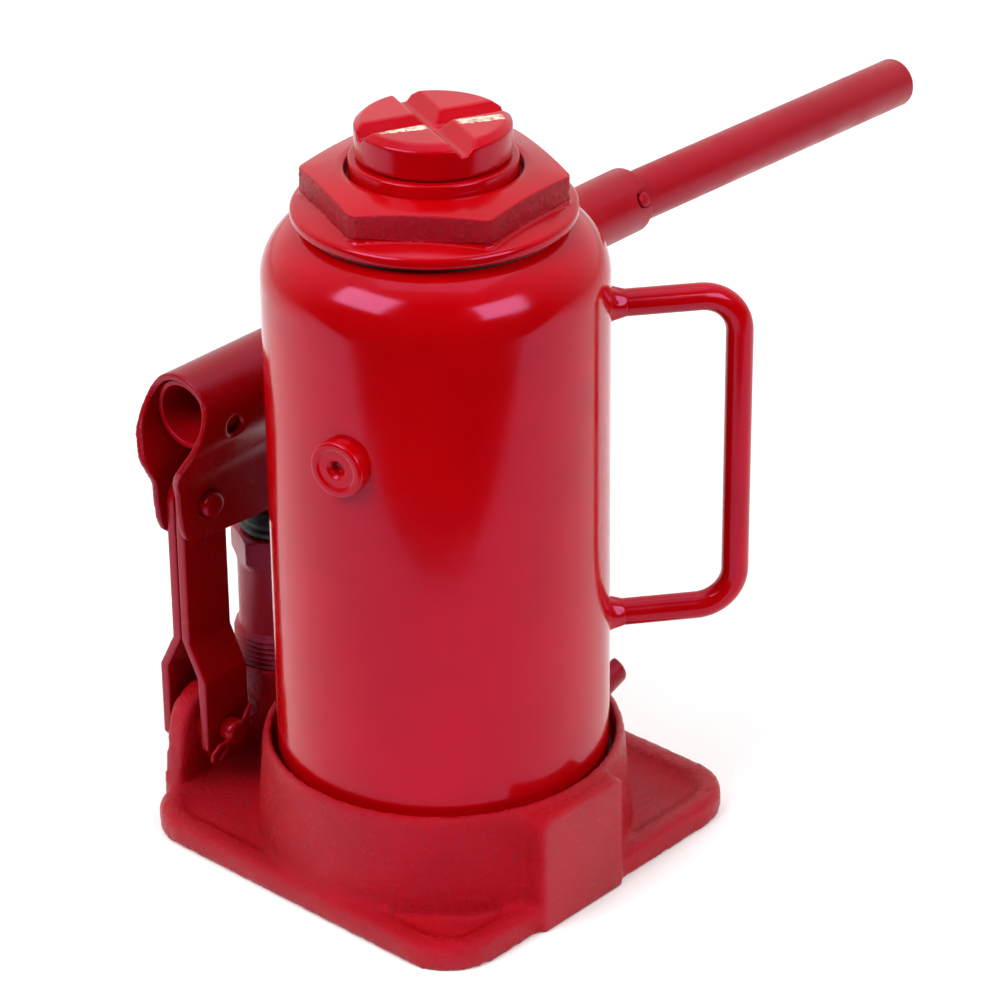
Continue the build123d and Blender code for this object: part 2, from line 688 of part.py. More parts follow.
eye_reach = 10.2
eye_radius = 2.3
eye_wire = 0.9
leg_bend = 5.2
leg_length = 5.8
leg_spread = 17.0
with BuildPart() as lug_split_pin:
    with BuildSketch(Plane(origin=cotter_centre, z_dir=cotter_dir)):
        Circle(cotter_radius)
    extrude(amount=leg_bend + 0.6)
    with BuildSketch(Plane(origin=cotter_centre, z_dir=cotter_dir)):
        Circle(cotter_radius)
    extrude(amount=-(eye_reach - eye_radius))
    bend = Vector(*cotter_centre) + Vector(*cotter_dir) * leg_bend
    for spread in (-leg_spread, leg_spread):
        leg = math.radians(cotter_turn + spread)
        with BuildSketch(Plane(origin=bend, z_dir=(math.cos(leg), 0, math.sin(leg)))):
            Circle(eye_wire)
        extrude(amount=leg_length)
    eye = Vector(*cotter_centre) - Vector(*cotter_dir) * eye_reach
    with BuildSketch(across(eye.X, eye.Y - eye_wire, eye.Z)):
        Circle(eye_radius + eye_wire)
        Circle(eye_radius - eye_wire, mode=Mode.SUBTRACT)
    extrude(amount=-2 * eye_wire)
save(lug_split_pin, "lug_split_pin")

# Handle socket: one steel sheet folded over the lever, pinched in to two hanging ears
wall_drop = 6.0
pinch_drop = 21.0
ear_drop = 55.0
ear_rear = 18.2
fold_radius = 14.0
socket_hole = (-25.6, 141.0)


def folded_side(half_width, half_ear, lift):
    """One side of one skin of the folded sheet as seen along the lever, below its rounded crown."""
    return [(half_width, 0), (half_width, lift - wall_drop), (half_ear, lift - pinch_drop), (half_ear, -ear_drop)]


skins = ((socket_inner + socket_sheet, ear_gap / 2 + socket_sheet, 0.0, Mode.ADD),
         (socket_inner, ear_gap / 2, 0.9, Mode.SUBTRACT))
with BuildPart() as handle_socket:
    for half_width, half_ear, lift, mode in skins:
        with BuildSketch(lengthwise(socket_front, lever_head, lever_rise)):
            with BuildLine():
                FilletPolyline(*folded_side(half_width, half_ear, lift), radius=fold_radius)
                FilletPolyline(*folded_side(-half_width, -half_ear, lift), radius=fold_radius)
                Line((half_width, 0), (-half_width, 0))
                Line((half_ear, -ear_drop), (-half_ear, -ear_drop))
            make_face()
            Circle(half_width)
        extrude(amount=socket_back - socket_front + 2.0, mode=mode)
    with BuildSketch(across(0, 0, 0)):
        with BuildLine():
            Polyline((-39.5, ear_bottom + 1.8), (-7.0, ear_bottom), (ear_rear - 6.0, ear_bottom - 0.8),
                     (ear_rear - 1.5, ear_bottom + 2.0), (ear_rear, 107.0), (31.0, 133.0), (socket_back, 139.0),
                     (socket_back, 170.0), (-36.8, 170.0), (-36.8, 152.0), (-38.0, 148.2), (-41.1, 141.7),
                     (-43.6, 137.6), (-45.6, 132.7), (-46.9, 129.5), (-47.1, 127.6), (-46.4, 124.5),
                     (-45.0, 120.5), (ear_front, 112.2), (-43.8, 106.4), (-42.3, 102.6), (-39.5, ear_bottom + 1.8))
        make_face()
    extrude(amount=-2 * linkage_y, mode=Mode.INTERSECT)
    with BuildSketch(across(0, 0, 0)):
        with Locations((fulcrum_x, fulcrum_z)):
            Circle(pin_radius + 0.02)
        with Locations((pump_x, plunger_pin_z)):
            Circle(plunger_pin_radius + 0.02)
    extrude(amount=-2 * linkage_y, mode=Mode.SUBTRACT)
    with BuildSketch(across(socket_hole[0], linkage_y - 30.0, socket_hole[1])):
        Circle(3.0)
    extrude(amount=-30.0, mode=Mode.SUBTRACT)
    with BuildSketch(across(socket_hole[0], linkage_y - 30.0, socket_hole[1])):
        Circle(4.0)
    extrude(amount=-(30.0 - socket_inner - socket_sheet + 1.0), mode=Mode.SUBTRACT)
save(handle_socket, "handle_socket")

# Pins of the socket: the fulcrum pin with peened ends, and the plunger pin with its clips
fulcrum_half = 10.0
plunger_half = 9.4
clip_gap = 7.1
with BuildPart() as fulcrum_pin:
    with BuildSketch(across(fulcrum_x, linkage_y - fulcrum_half, fulcrum_z)):
        Circle(pin_radius)
    extrude(amount=-2 * fulcrum_half)
    chamfer(fulcrum_pin.edges().filter_by(GeomType.CIRCLE), 1.2)
save(fulcrum_pin, "fulcrum_pin")

with BuildPart() as plunger_pin:
    with BuildSketch(across(pump_x, linkage_y - plunger_half, plunger_pin_z)):
        Circle(plunger_pin_radius)
    extrude(amount=-2 * plunger_half)
    chamfer(plunger_pin.edges().filter_by(GeomType.CIRCLE), 0.6)
    for offset in (-clip_gap - 1.0, clip_gap):
        with BuildSketch(across(pump_x, linkage_y + offset, plunger_pin_z)):
            Circle(plunger_pin_radius + 1.0)
            Circle(plunger_pin_radius - 0.8, mode=Mode.SUBTRACT)
        extrude(amount=-1.0, mode=Mode.SUBTRACT)
save(plunger_pin, "plunger_pin")

with BuildPart() as plunger_pin_clips:
    for offset in (-clip_gap - 0.9, clip_gap + 0.1):
        with BuildSketch(across(pump_x, linkage_y + offset, plunger_pin_z)):
            Circle(plunger_pin_radius + 2.2)
            Circle(plunger_pin_radius - 0.7, mode=Mode.SUBTRACT)
            with Locations((0, -plunger_pin_radius)):
                Rectangle(4.0, 6.0, mode=Mode.SUBTRACT)
        extrude(amount=-0.8)
save(plunger_pin_clips, "plunger_pin_clips")

# Lever: a lower tube notched at its far end, and a thinner grip tube with a locking stud
notch_rise = math.radians(notch_turn)


def notch_plane(x, point, rise, reach):
    """A plane facing away from a tube's axis towards the notch, its local x along the tube."""
    tube = lengthwise(x, point, rise)
    out = tube.x_dir * -math.cos(notch_rise) + tube.y_dir * math.sin(notch_rise)
    return Plane(origin=tube.origin + out * reach, x_dir=tube.z_dir, z_dir=out)


with BuildPart() as lever_tube:
    with BuildSketch(lengthwise(lever_start, lever_head, lever_rise)):
        Circle(lever_radius)
        Circle(lever_bore, mode=Mode.SUBTRACT)
    extrude(amount=lever_end - lever_start)
    with BuildSketch(notch_plane(lever_end, lever_head, lever_rise, 2.0)):
        SlotOverall(2 * notch_depth, notch_width)
    extrude(amount=2 * lever_radius, mode=Mode.SUBTRACT)
save(lever_tube, "lever_tube")

stud_x = lever_end - 3.3
stud_radius = 2.65
stud_foot = grip_bore - 1.2
with BuildPart() as grip_tube:
    with BuildSketch(lengthwise(grip_start, grip_mouth, grip_rise)):
        Circle(grip_radius)
        Circle(grip_bore, mode=Mode.SUBTRACT)
    extrude(amount=grip_end - grip_start)
    with BuildSketch(lengthwise(grip_end - 1.6, grip_mouth, grip_rise)):
        Circle(grip_radius)
    extrude(amount=1.6)
    fillet(grip_tube.faces().sort_by(Axis.X)[-1].edges(), 1.2)
    with BuildSketch(notch_plane(stud_x, grip_mouth, grip_rise, 2.0)):
        Circle(stud_radius + 0.01)
    extrude(amount=grip_radius, mode=Mode.SUBTRACT)
save(grip_tube, "grip_tube")

with BuildPart() as grip_stud:
    with BuildSketch(notch_plane(stud_x, grip_mouth, grip_rise, stud_foot)):
        Circle(stud_radius)
    extrude(amount=lever_radius + 0.6 - stud_foot)
    chamfer(grip_stud.faces().sort_by(Axis.Y)[0].edges(), 0.6)
save(grip_stud, "grip_stud")

# Release valve: a slotted screw through a gland nut, whose tapered nose closes the return passage
slot_width = 3.5
slot_depth = 8.2
nose_length = 4.0
gland_front = 16.5
gland_flats = 14.0
seal_back = 30.0
with BuildPart() as release_valve:
    with BuildSketch(valve_plane(valve_head_length)):
        Circle(valve_head_radius)
    extrude(amount=valve_head_length)
    fillet(release_valve.faces().sort_by(Axis.X)[-1].edges(), 1.8)
    with BuildSketch(valve_plane(valve_head_length)):
        Circle(valve_stem_radius)
    extrude(amount=-(valve_stem_length - nose_length - valve_head_length))
    with BuildSketch(valve_plane(valve_stem_length - nose_length)):
        Circle(valve_stem_radius)
    extrude(amount=-nose_length, taper=40)
    with BuildSketch(valve_plane(slot_depth)):
        Rectangle(slot_width, 4 * valve_head_radius)
    extrude(amount=slot_depth + 1.0, mode=Mode.SUBTRACT)
    with BuildSketch(valve_plane(seal_back + 2.6)):
        Circle(valve_stem_radius + 1.0)
        Circle(valve_stem_radius - 1.5, mode=Mode.SUBTRACT)
    extrude(amount=2.6, mode=Mode.SUBTRACT)
save(release_valve, "release_valve")

with BuildPart() as release_gland_nut:
    with BuildSketch(valve_plane(valve_boss_back)):
        RegularPolygon(gland_flats / math.sqrt(3), 6)
        Circle(valve_stem_radius + running_gap, mode=Mode.SUBTRACT)
    extrude(amount=valve_boss_back - gland_front)
save(release_gland_nut, "release_gland_nut")

with BuildPart() as release_valve_ring:
    with BuildSketch(valve_plane(seal_back + 2.4)):
        Circle(valve_stem_radius - 0.1)
        Circle(valve_stem_radius - 1.4, mode=Mode.SUBTRACT)
    extrude(amount=2.2)
save(release_valve_ring, "release_valve_ring")

# Valves inside the base: check balls, oil strainer, and the overload ball under its spring
ball_radius = 2.5
seat_rise = math.sqrt(ball_radius ** 2 - seat_hole_radius ** 2) + 0.02
with BuildPart() as suction_ball:
    with Locations((pump_x, linkage_y, pump_well_foot + seat_rise)):
        Sphere(ball_radius)
save(suction_ball, "suction_ball")

with BuildPart() as delivery_ball:
    with Locations((0, 0, 16.0 + seat_rise)):
        Sphere(ball_radius)
save(delivery_ball, "delivery_ball")

strainer_radius = 4.5
with BuildPart() as oil_strainer:
    with BuildSketch(upright(suction_x, suction_y, core_top)):
        Circle(strainer_radius)
        with GridLocations(1.7, 1.7, 4, 4):
            Circle(0.5, mode=Mode.SUBTRACT)
    extrude(amount=1.2)
save(oil_strainer, "oil_strainer")

with BuildPart() as overload_ball:
    with Locations((overload_x, overload_y, overload_floor + seat_rise)):
        Sphere(ball_radius)
save(overload_ball, "overload_ball")

spring_foot = overload_floor + 2 * ball_radius + 1.0
spring_length = 7.0
spring_coil, spring_wire = 2.9, 0.5
with BuildPart() as overload_spring:
    with BuildLine() as spring_path:
        Helix(pitch=1.6, height=spring_length, radius=spring_coil, center=(overload_x, overload_y, spring_foot))
    with BuildSketch(Plane(origin=spring_path.line @ 0, z_dir=spring_path.line % 0)):
        Circle(spring_wire)
    sweep(path=spring_path.line, is_frenet=True)
save(overload_spring, "overload_spring")

with BuildPart() as overload_screw:
    with BuildSketch(upright(overload_x, overload_y, spring_foot + spring_length + 0.8)):
        Circle(overload_bore - 0.05)
    extrude(amount=core_top - spring_foot - spring_length - 1.3)
    with BuildSketch(upright(overload_x, overload_y, core_top - 2.0)):
        Rectangle(2 * overload_bore, 1.2)
    extrude(amount=4.0, mode=Mode.SUBTRACT)
save(overload_screw, "overload_screw")
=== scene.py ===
import math

import bmesh
import bpy
from mathutils import Euler, Matrix, Vector, noise


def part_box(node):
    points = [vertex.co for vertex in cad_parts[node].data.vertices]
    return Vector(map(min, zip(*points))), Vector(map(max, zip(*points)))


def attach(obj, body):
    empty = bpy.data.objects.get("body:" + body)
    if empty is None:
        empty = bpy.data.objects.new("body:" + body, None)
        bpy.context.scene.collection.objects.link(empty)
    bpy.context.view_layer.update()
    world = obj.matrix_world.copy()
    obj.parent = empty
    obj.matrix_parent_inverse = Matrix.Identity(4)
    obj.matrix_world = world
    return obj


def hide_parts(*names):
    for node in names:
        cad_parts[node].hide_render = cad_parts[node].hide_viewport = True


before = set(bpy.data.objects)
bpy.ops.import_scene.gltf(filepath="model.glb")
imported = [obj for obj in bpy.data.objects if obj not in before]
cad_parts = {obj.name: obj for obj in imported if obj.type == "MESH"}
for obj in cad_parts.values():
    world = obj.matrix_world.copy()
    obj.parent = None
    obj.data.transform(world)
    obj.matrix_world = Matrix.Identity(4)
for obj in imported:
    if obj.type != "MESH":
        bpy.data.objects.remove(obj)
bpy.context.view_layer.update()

# Base casting. One grey-iron casting carries the plate, the collar round the tank, a milled pad,
# the link lug and the pump boss. Its skin is rough from the sand mould, and thick red enamel
# has rounded every edge and pooled in the corners.
mm = 0.001
enamel_red = (0.40, 0.0002, 0.0016, 1.0)
enamel_deep = (0.24, 0.0001, 0.0008, 1.0)
pit_red = (0.150, 0.0004, 0.0015, 1.0)
# shade_darkened_red is the same red enamel as the tank, darkened as painted shade for the links, pins, pump
# and release valve.
shade_darkened_red = (0.23, 0.0001, 0.0008, 1.0)
enamel_shine = (1.0, 0.42, 0.90, 1.0)


def shader(name):
    """A new material with its node tree, its Principled shader and its Object coordinates."""
    material = bpy.data.materials.new(name)
    material.use_nodes = True
    nodes = material.node_tree.nodes
    place = nodes.new("ShaderNodeTexCoord")
    return material, nodes, material.node_tree.links, nodes["Principled BSDF"], place.outputs["Object"]


def grain(nodes, links, place, size, detail=3.0, rough=0.55, stretch=None):
    """A noise whose grains are about one size across, in metres, on an object's own coordinates."""
    texture = nodes.new("ShaderNodeTexNoise")
    texture.inputs["Scale"].default_value = 1.0 / size
    texture.inputs["Detail"].default_value = detail
    texture.inputs["Roughness"].default_value = rough
    if stretch:
        mapping = nodes.new("ShaderNodeMapping")
        mapping.inputs["Scale"].default_value = stretch
        links.new(place, mapping.inputs["Vector"])
        place = mapping.outputs["Vector"]
    links.new(place, texture.inputs["Vector"])
    return texture.outputs["Fac"]


def spread(nodes, links, value, low, high, out_low=0.0, out_high=1.0):
    """Stretches a value's low..high to out_low..out_high, held at both ends."""
    change = nodes.new("ShaderNodeMapRange")
    change.interpolation_type = "SMOOTHSTEP"
    for name, number in (("From Min", low), ("From Max", high), ("To Min", out_low), ("To Max", out_high)):
        change.inputs[name].default_value = number
    links.new(value, change.inputs["Value"])
    return change.outputs["Result"]


def reckon(nodes, links, operation, a, b):
    """One Math node on two values, either of which may be a plain number."""
    step = nodes.new("ShaderNodeMath")
    step.operation = operation
    for socket, value in ((step.inputs[0], a), (step.inputs[1], b)):
        if isinstance(value, (int, float)):
            socket.default_value = value
        else:
            links.new(value, socket)
    return step.outputs["Value"]


def axis_of(nodes, links, vector, axis):
    """The X, Y or Z of a vector."""
    split = nodes.new("ShaderNodeSeparateXYZ")
    links.new(vector, split.inputs["Vector"])
    return split.outputs[axis]


def tint(nodes, links, amount, a, b):
    """Colour a where amount is 0 and b where it is 1. Either colour may come from a node."""
    blend = nodes.new("ShaderNodeMix")
    blend.data_type = "RGBA"
    links.new(amount, blend.inputs["Factor"])
    for socket, value in ((blend.inputs["A"], a), (blend.inputs["B"], b)):
        if isinstance(value, tuple):
            socket.default_value = value
        else:
            links.new(value, socket)
    return blend.outputs["Result"]


def relief(nodes, links, layers):
    """Bump nodes in a row, each a (height, depth in metres) pair, ending in one normal."""
    normal = None
    for height, depth in layers:
        bump = nodes.new("ShaderNodeBump")
        bump.inputs["Strength"].default_value = 1.0
        bump.inputs["Distance"].default_value = depth
        links.new(height, bump.inputs["Height"])
        if normal:
            links.new(normal, bump.inputs["Normal"])
        normal = bump.outputs["Normal"]
    return normal


def enamel(name, gloss, peel=0.00002, pits=0.0, cast=0.0, cast_size=0.0016, colour=enamel_red, flats=None):
    """Red enamel. gloss is its roughness, peel and cast are bump depths in metres, and pits is how
    much of it is pinholed down to dark primer. flats is a (low, high) height in metres between which
    upright faces are left as rough as cast."""
    material, nodes, links, principled, place = shader(name)
    cloud = grain(nodes, links, place, 0.035, 2.0)
    fine = grain(nodes, links, place, 0.0011, 3.0)
    body = tint(nodes, links, spread(nodes, links, cloud, 0.30, 0.72, 0.0, 0.35), colour, enamel_deep)
    geometry = nodes.new("ShaderNodeNewGeometry")
    # Painted shade: enamel_deep is mixed in where Pointiness is low, darkening hollows and inside corners of
    # every enamel.
    edge = spread(nodes, links, geometry.outputs["Pointiness"], 0.42, 0.485, 0.55, 0.0)
    body = tint(nodes, links, edge, body, enamel_deep)
    layers = [(fine, peel), (grain(nodes, links, place, 0.006, 1.0), 4 * peel)]
    pore = None
    if pits:
        speck = grain(nodes, links, place, 0.0021, 5.0, 0.75)
        pore = spread(nodes, links, speck, 0.62 - pits, 0.70 - pits)
    if flats:
        low, high = flats
        tip = axis_of(nodes, links, geometry.outputs["Normal"], "Z")
        height = axis_of(nodes, links, place, "Z")
        standing = spread(nodes, links, reckon(nodes, links, "ABSOLUTE", tip, 0.0), 0.35, 0.6, 1.0, 0.0)
        above = spread(nodes, links, height, low, low + 0.6 * mm)
        below = spread(nodes, links, height, high - 0.2 * mm, high + 0.4 * mm, 1.0, 0.0)
        rough_zone = reckon(nodes, links, "MULTIPLY", above, below)
        rough_zone = reckon(nodes, links, "MULTIPLY", standing, rough_zone)
        scratch = grain(nodes, links, place, 0.0007, 6.0, 0.8, (1.0, 1.0, 0.5))
        pore = reckon(nodes, links, "MULTIPLY", spread(nodes, links, scratch, 0.50, 0.60), rough_zone)
        layers.append((reckon(nodes, links, "MULTIPLY", scratch, rough_zone), 0.0006))
    if cast:
        sand = grain(nodes, links, place, cast_size, 7.0, 0.72)
        layers.append((sand, cast))
    if pore is not None:
        body = tint(nodes, links, reckon(nodes, links, "MULTIPLY", pore, 0.8), body, pit_red)
    links.new(body, principled.inputs["Base Color"])
    haze = spread(nodes, links, grain(nodes, links, place, 0.012, 4.0), 0.3, 0.75, gloss * 0.85, gloss * 1.35)
    if pore is not None:
        haze = reckon(nodes, links, "ADD", haze, reckon(nodes, links, "MULTIPLY", pore, 0.25))
    links.new(haze, principled.inputs["Roughness"])
    links.new(relief(nodes, links, layers), principled.inputs["Normal"])
    principled.inputs["Specular IOR Level"].default_value = 0.30
    principled.inputs["Specular Tint"].default_value = enamel_shine
    principled.inputs["IOR"].default_value = 1.5
    return material


def tree_on(obj, name, sizes, build):
    """Runs one Geometry Nodes tree on obj. sizes names its inputs, and build(tree, inputs) returns
    the geometry socket that it ends with."""
    tree = bpy.data.node_groups.new(name, "GeometryNodeTree")
    tree.interface.new_socket("Geometry", in_out="INPUT", socket_type="NodeSocketGeometry")
    tree.interface.new_socket("Finish", in_out="INPUT", socket_type="NodeSocketMaterial")
    for label in sizes:
        kind = "NodeSocketInt" if isinstance(sizes[label], int) else "NodeSocketFloat"
        tree.interface.new_socket(label, in_out="INPUT", socket_type=kind)
    tree.interface.new_socket("Geometry", in_out="OUTPUT", socket_type="NodeSocketGeometry")
    start = tree.nodes.new("NodeGroupInput")
    real = tree.nodes.new("GeometryNodeRealizeInstances")
    finish = tree.nodes.new("GeometryNodeSetMaterial")
    end = tree.nodes.new("NodeGroupOutput")
    tree.links.new(build(tree, start.outputs), real.inputs["Geometry"])
    tree.links.new(real.outputs["Geometry"], finish.inputs["Geometry"])
    tree.links.new(start.outputs["Finish"], finish.inputs["Material"])
    tree.links.new(finish.outputs["Geometry"], end.inputs["Geometry"])
    modifier = obj.modifiers.new(name, "NODES")
    modifier.node_group = tree
    for item in tree.interface.items_tree:
        if item.in_out == "INPUT" and item.name in sizes:
            modifier[item.identifier] = sizes[item.name]
        if item.in_out == "INPUT" and item.name == "Finish":
            modifier[item.identifier] = obj.active_material
    return modifier


def frozen(obj):
    """obj with its modifiers, and any curve, turned into a plain mesh."""
    bpy.context.view_layer.update()
    shape = bpy.data.meshes.new_from_object(obj.evaluated_get(bpy.context.evaluated_depsgraph_get()))
    mesh_only = bpy.data.objects.new(obj.name, shape)
    bpy.data.objects.remove(obj)
    mesh_only.name = shape.name = mesh_only.name.split(".")[0]
    bpy.context.scene.collection.objects.link(mesh_only)
    return mesh_only


def smooth(obj, angle=40):
    """Smooth shading, with an edge sharper than angle degrees left crisp."""
    obj.data.shade_smooth()
    obj.data.set_sharp_from_angle(angle=math.radians(angle))
    return obj


def painted(node, name, voxel, passes, material):
    """A copy of a CAD node with its edges and corners rounded over, as thick paint leaves them.
    voxel is the fineness of its new skin in millimetres, and passes is how often it is smoothed."""
    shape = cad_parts[node].data.copy()
    shape.materials.clear()
    shape.materials.append(material)
    work = bmesh.new()
    work.from_mesh(shape)
    bmesh.ops.remove_doubles(work, verts=work.verts, dist=0.002 * mm)
    work.to_mesh(shape)
    work.free()
    obj = bpy.data.objects.new(name, shape)
    bpy.context.scene.collection.objects.link(obj)
    skin = obj.modifiers.new("skin", "REMESH")
    skin.mode = "VOXEL"
    skin.voxel_size = voxel * mm
    skin.use_smooth_shade = True
    soften = obj.modifiers.new("soften", "SMOOTH")
    soften.iterations = passes
    soften.factor = 0.5
    return obj


def fitted(obj, body, slot, *nodes):
    """Fixes a finished piece to its body, in place of the CAD nodes that it shows."""
    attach(obj, body)
    if nodes:
        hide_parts(*nodes)
    return obj


def cast_skin(tree, inputs):
    """Pushes a casting's surface in and out by the grain of its mould, but not on the milled pad."""
    where = tree.nodes.new("GeometryNodeInputPosition")
    milled = tree.nodes.new("ShaderNodeMapRange")
    milled.inputs["From Min"].default_value = pad_face + 0.3 * mm
    milled.inputs["From Max"].default_value = pad_face + 1.2 * mm
    across = axis_of(tree.nodes, tree.links, where.outputs["Position"], "Y")
    tree.links.new(across, milled.inputs["Value"])
    sand = tree.nodes.new("ShaderNodeTexNoise")
    sand.inputs["Detail"].default_value = 4.0
    sand.inputs["Roughness"].default_value = 0.7
    tree.links.new(inputs["Grains per Metre"], sand.inputs["Scale"])
    level = reckon(tree.nodes, tree.links, "SUBTRACT", sand.outputs["Fac"], 0.5)
    depth = reckon(tree.nodes, tree.links, "MULTIPLY", level, inputs["Depth"])
    kept = reckon(tree.nodes, tree.links, "MULTIPLY", depth, milled.outputs["Result"])
    outward = tree.nodes.new("GeometryNodeInputNormal")
    push = tree.nodes.new("ShaderNodeVectorMath")
    push.operation = "SCALE"
    tree.links.new(outward.outputs["Normal"], push.inputs["Vector"])
    tree.links.new(kept, push.inputs["Scale"])
    move = tree.nodes.new("GeometryNodeSetPosition")
    tree.links.new(inputs["Geometry"], move.inputs["Geometry"])
    tree.links.new(push.outputs["Vector"], move.inputs["Offset"])
    return move.outputs["Geometry"]


pad_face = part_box("base_casting")[0][1]
cast_enamel = enamel("cast base enamel", 0.19, 0.00003, 0.03, 0.0010)
sand_grains, sand_depth = 420.0, 1.1 * mm
base = painted("base_casting", "base", 1.15, 10, cast_enamel)
tree_on(base, "cast skin", {"Grains per Metre": sand_grains, "Depth": sand_depth}, cast_skin)
base = frozen(base)
smooth(base, 70)
fitted(base, "jack_body", "cast_base_enamel", "base_casting")

# Oil tank. A deep-drawn steel can with a rounded shoulder stands in the collar on a dark gasket,
# and a second gasket seals its mouth under the top nut. It is sprayed in high-gloss red enamel.
upright = Matrix.Identity(4)


def rounded(outline, steps=4):
    """A closed outline of (r, z, corner radius) points with each corner turned into an arc."""
    path = []
    for before, here, after in zip(outline[-1:] + outline[:-1], outline, outline[1:] + outline[:1]):
        corner = Vector(here[:2])
        if not here[2]:
            path.append(corner)
            continue
        to_before = Vector(before[:2]) - corner
        to_after = Vector(after[:2]) - corner
        half = to_before.angle(to_after) / 2
        reach = min(here[2] / math.tan(half), 0.49 * to_before.length, 0.49 * to_after.length)
        back, onward = to_before.normalized(), to_after.normalized()
        first, last = corner + back * reach, corner + onward * reach
        middle = corner + (back + onward).normalized() * reach / math.cos(half)
        turn = (first - middle).angle_signed(last - middle)
        for k in range(steps + 1):
            path.append(middle + Matrix.Rotation(-turn * k / steps, 2) @ (first - middle))
    return path


def turned(name, outline, material, place=upright, steps=144, sharp=40):
    """A turned piece: a closed (r, z) outline in millimetres swept round an axis. outline may be a
    rule of the angle, for a piece that isn't quite round."""
    rows = [outline(2 * math.pi * k / steps) if callable(outline) else outline for k in range(steps)]
    shape = bmesh.new()
    rings = []
    for k, row in enumerate(rows):
        a = 2 * math.pi * k / steps
        rings.append([place @ Vector((r * math.cos(a) * mm, r * math.sin(a) * mm, z * mm)) for r, z in row])
    verts = [[shape.verts.new(point) for point in ring] for ring in rings]
    count = len(rows[0])
    for k in range(steps):
        for j in range(count):
            shape.faces.new((verts[k][j], verts[(k + 1) % steps][j],
                             verts[(k + 1) % steps][(j + 1) % count], verts[k][(j + 1) % count]))
    bmesh.ops.remove_doubles(shape, verts=shape.verts, dist=0.004 * mm)
    bmesh.ops.recalc_face_normals(shape, faces=shape.faces)
    mesh = bpy.data.meshes.new(name)
    shape.to_mesh(mesh)
    shape.free()
    mesh.materials.append(material)
    obj = bpy.data.objects.new(name, mesh)
    bpy.context.scene.collection.objects.link(obj)
    return smooth(obj, sharp)


tank_low, tank_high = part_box("oil_tank")
tank_radius = tank_high[0] / mm
tank_foot = tank_low[2] / mm
tank_wall = 3.2
shoulder_radius = 20.0
shoulder_start = 206.3
lip_radius = 39.2
shoulder_middle = tank_radius - shoulder_radius
lip_turn = math.acos((lip_radius - shoulder_middle) / shoulder_radius)
inner_turn = math.acos((lip_radius - shoulder_middle) / (shoulder_radius - tank_wall))
shoulder_steps = 24


def on_shoulder(radius, angle):
    """A point of the shoulder's section, on its outer or its inner arc."""
    return (shoulder_middle + radius * math.cos(angle), shoulder_start + radius * math.sin(angle))


tank_outline = [(tank_radius - tank_wall, tank_foot)]
tank_outline += [(tank_radius, tank_foot + 0.5 * k) for k in range(3)]
tank_outline += [(tank_radius, shoulder_start)]
for k in range(1, shoulder_steps + 1):
    tank_outline.append(on_shoulder(shoulder_radius, lip_turn * k / shoulder_steps))
for k in range(shoulder_steps, -1, -1):
    tank_outline.append(on_shoulder(shoulder_radius - tank_wall, inner_turn * k / shoulder_steps))
tank_enamel = enamel("tank enamel", 0.13, 0.000006)
tank = turned("tank", tank_outline, tank_enamel, steps=240)
fitted(tank, "jack_body", "tank_enamel", "oil_tank")


def plain(name, colour, rough, metallic=0.0, size=0.002, depth=0.00004):
    """A bare or moulded finish with a little cloud in its colour, shine and surface."""
    material, nodes, links, principled, place = shader(name)
    cloud = grain(nodes, links, place, size, 4.0)
    dark = tuple(0.55 * c for c in colour[:3]) + (1.0,)
    body = tint(nodes, links, spread(nodes, links, cloud, 0.35, 0.7), colour, dark)
    fine = grain(nodes, links, place, size / 3, 3.0)
    links.new(body, principled.inputs["Base Color"])
    links.new(spread(nodes, links, cloud, 0.3, 0.7, rough * 0.8, rough * 1.2), principled.inputs["Roughness"])
    links.new(relief(nodes, links, [(fine, depth)]), principled.inputs["Normal"])
    principled.inputs["Metallic"].default_value = metallic
    return material


def dressed(material, *names):
    """Gives CAD nodes that show as they are a material."""
    for name in names:
        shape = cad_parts[name].data
        shape.materials.clear()
        shape.materials.append(material)


gasket_black = plain("dark gasket", (0.020, 0.003, 0.004, 1.0), 0.6)
dressed(gasket_black, "tank_foot_gasket", "tank_mouth_gasket")

# Top nut. A forged ring nut screws into the cylinder and clamps the tank down: a round flange,
# a hexagon with a turned chamfer whose flats stay rough from the forge, and a recess round the ram.
nut_low, nut_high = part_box("top_nut")
nut_face = nut_high[2] / mm
flange_radius = nut_high[0] / mm
nut_foot = nut_low[2] / mm
nut_flats = 74.0
nut_turn = math.radians(6.2)
turned_radius = 42.0
cone_start, cone_end = 30.0, 241.0
flange_foot, flange_top, flange_rise = 227.2, 231.0, 233.2
neck_radius = 32.95
ram_bore = 26.55
recess_radius, recess_foot = 27.8, nut_face - 4.0
cone_slope = (nut_face - cone_end) / (turned_radius - cone_start)
flange_slope = (flange_rise - flange_top) / (flange_radius - nut_flats / 2)
forge_depth, forge_edge = 0.22, 0.3
wall_steps = 14


def hexagon(angle, flats, turn, crisp=70):
    """How far a hexagon with slightly rounded corners reaches at an angle."""
    total = 0.0
    for k in range(6):
        across = math.cos(angle - turn - math.radians(30 + 60 * k))
        total += max(across, 0.0) ** crisp
    return flats / 2 * total ** (-1.0 / crisp)


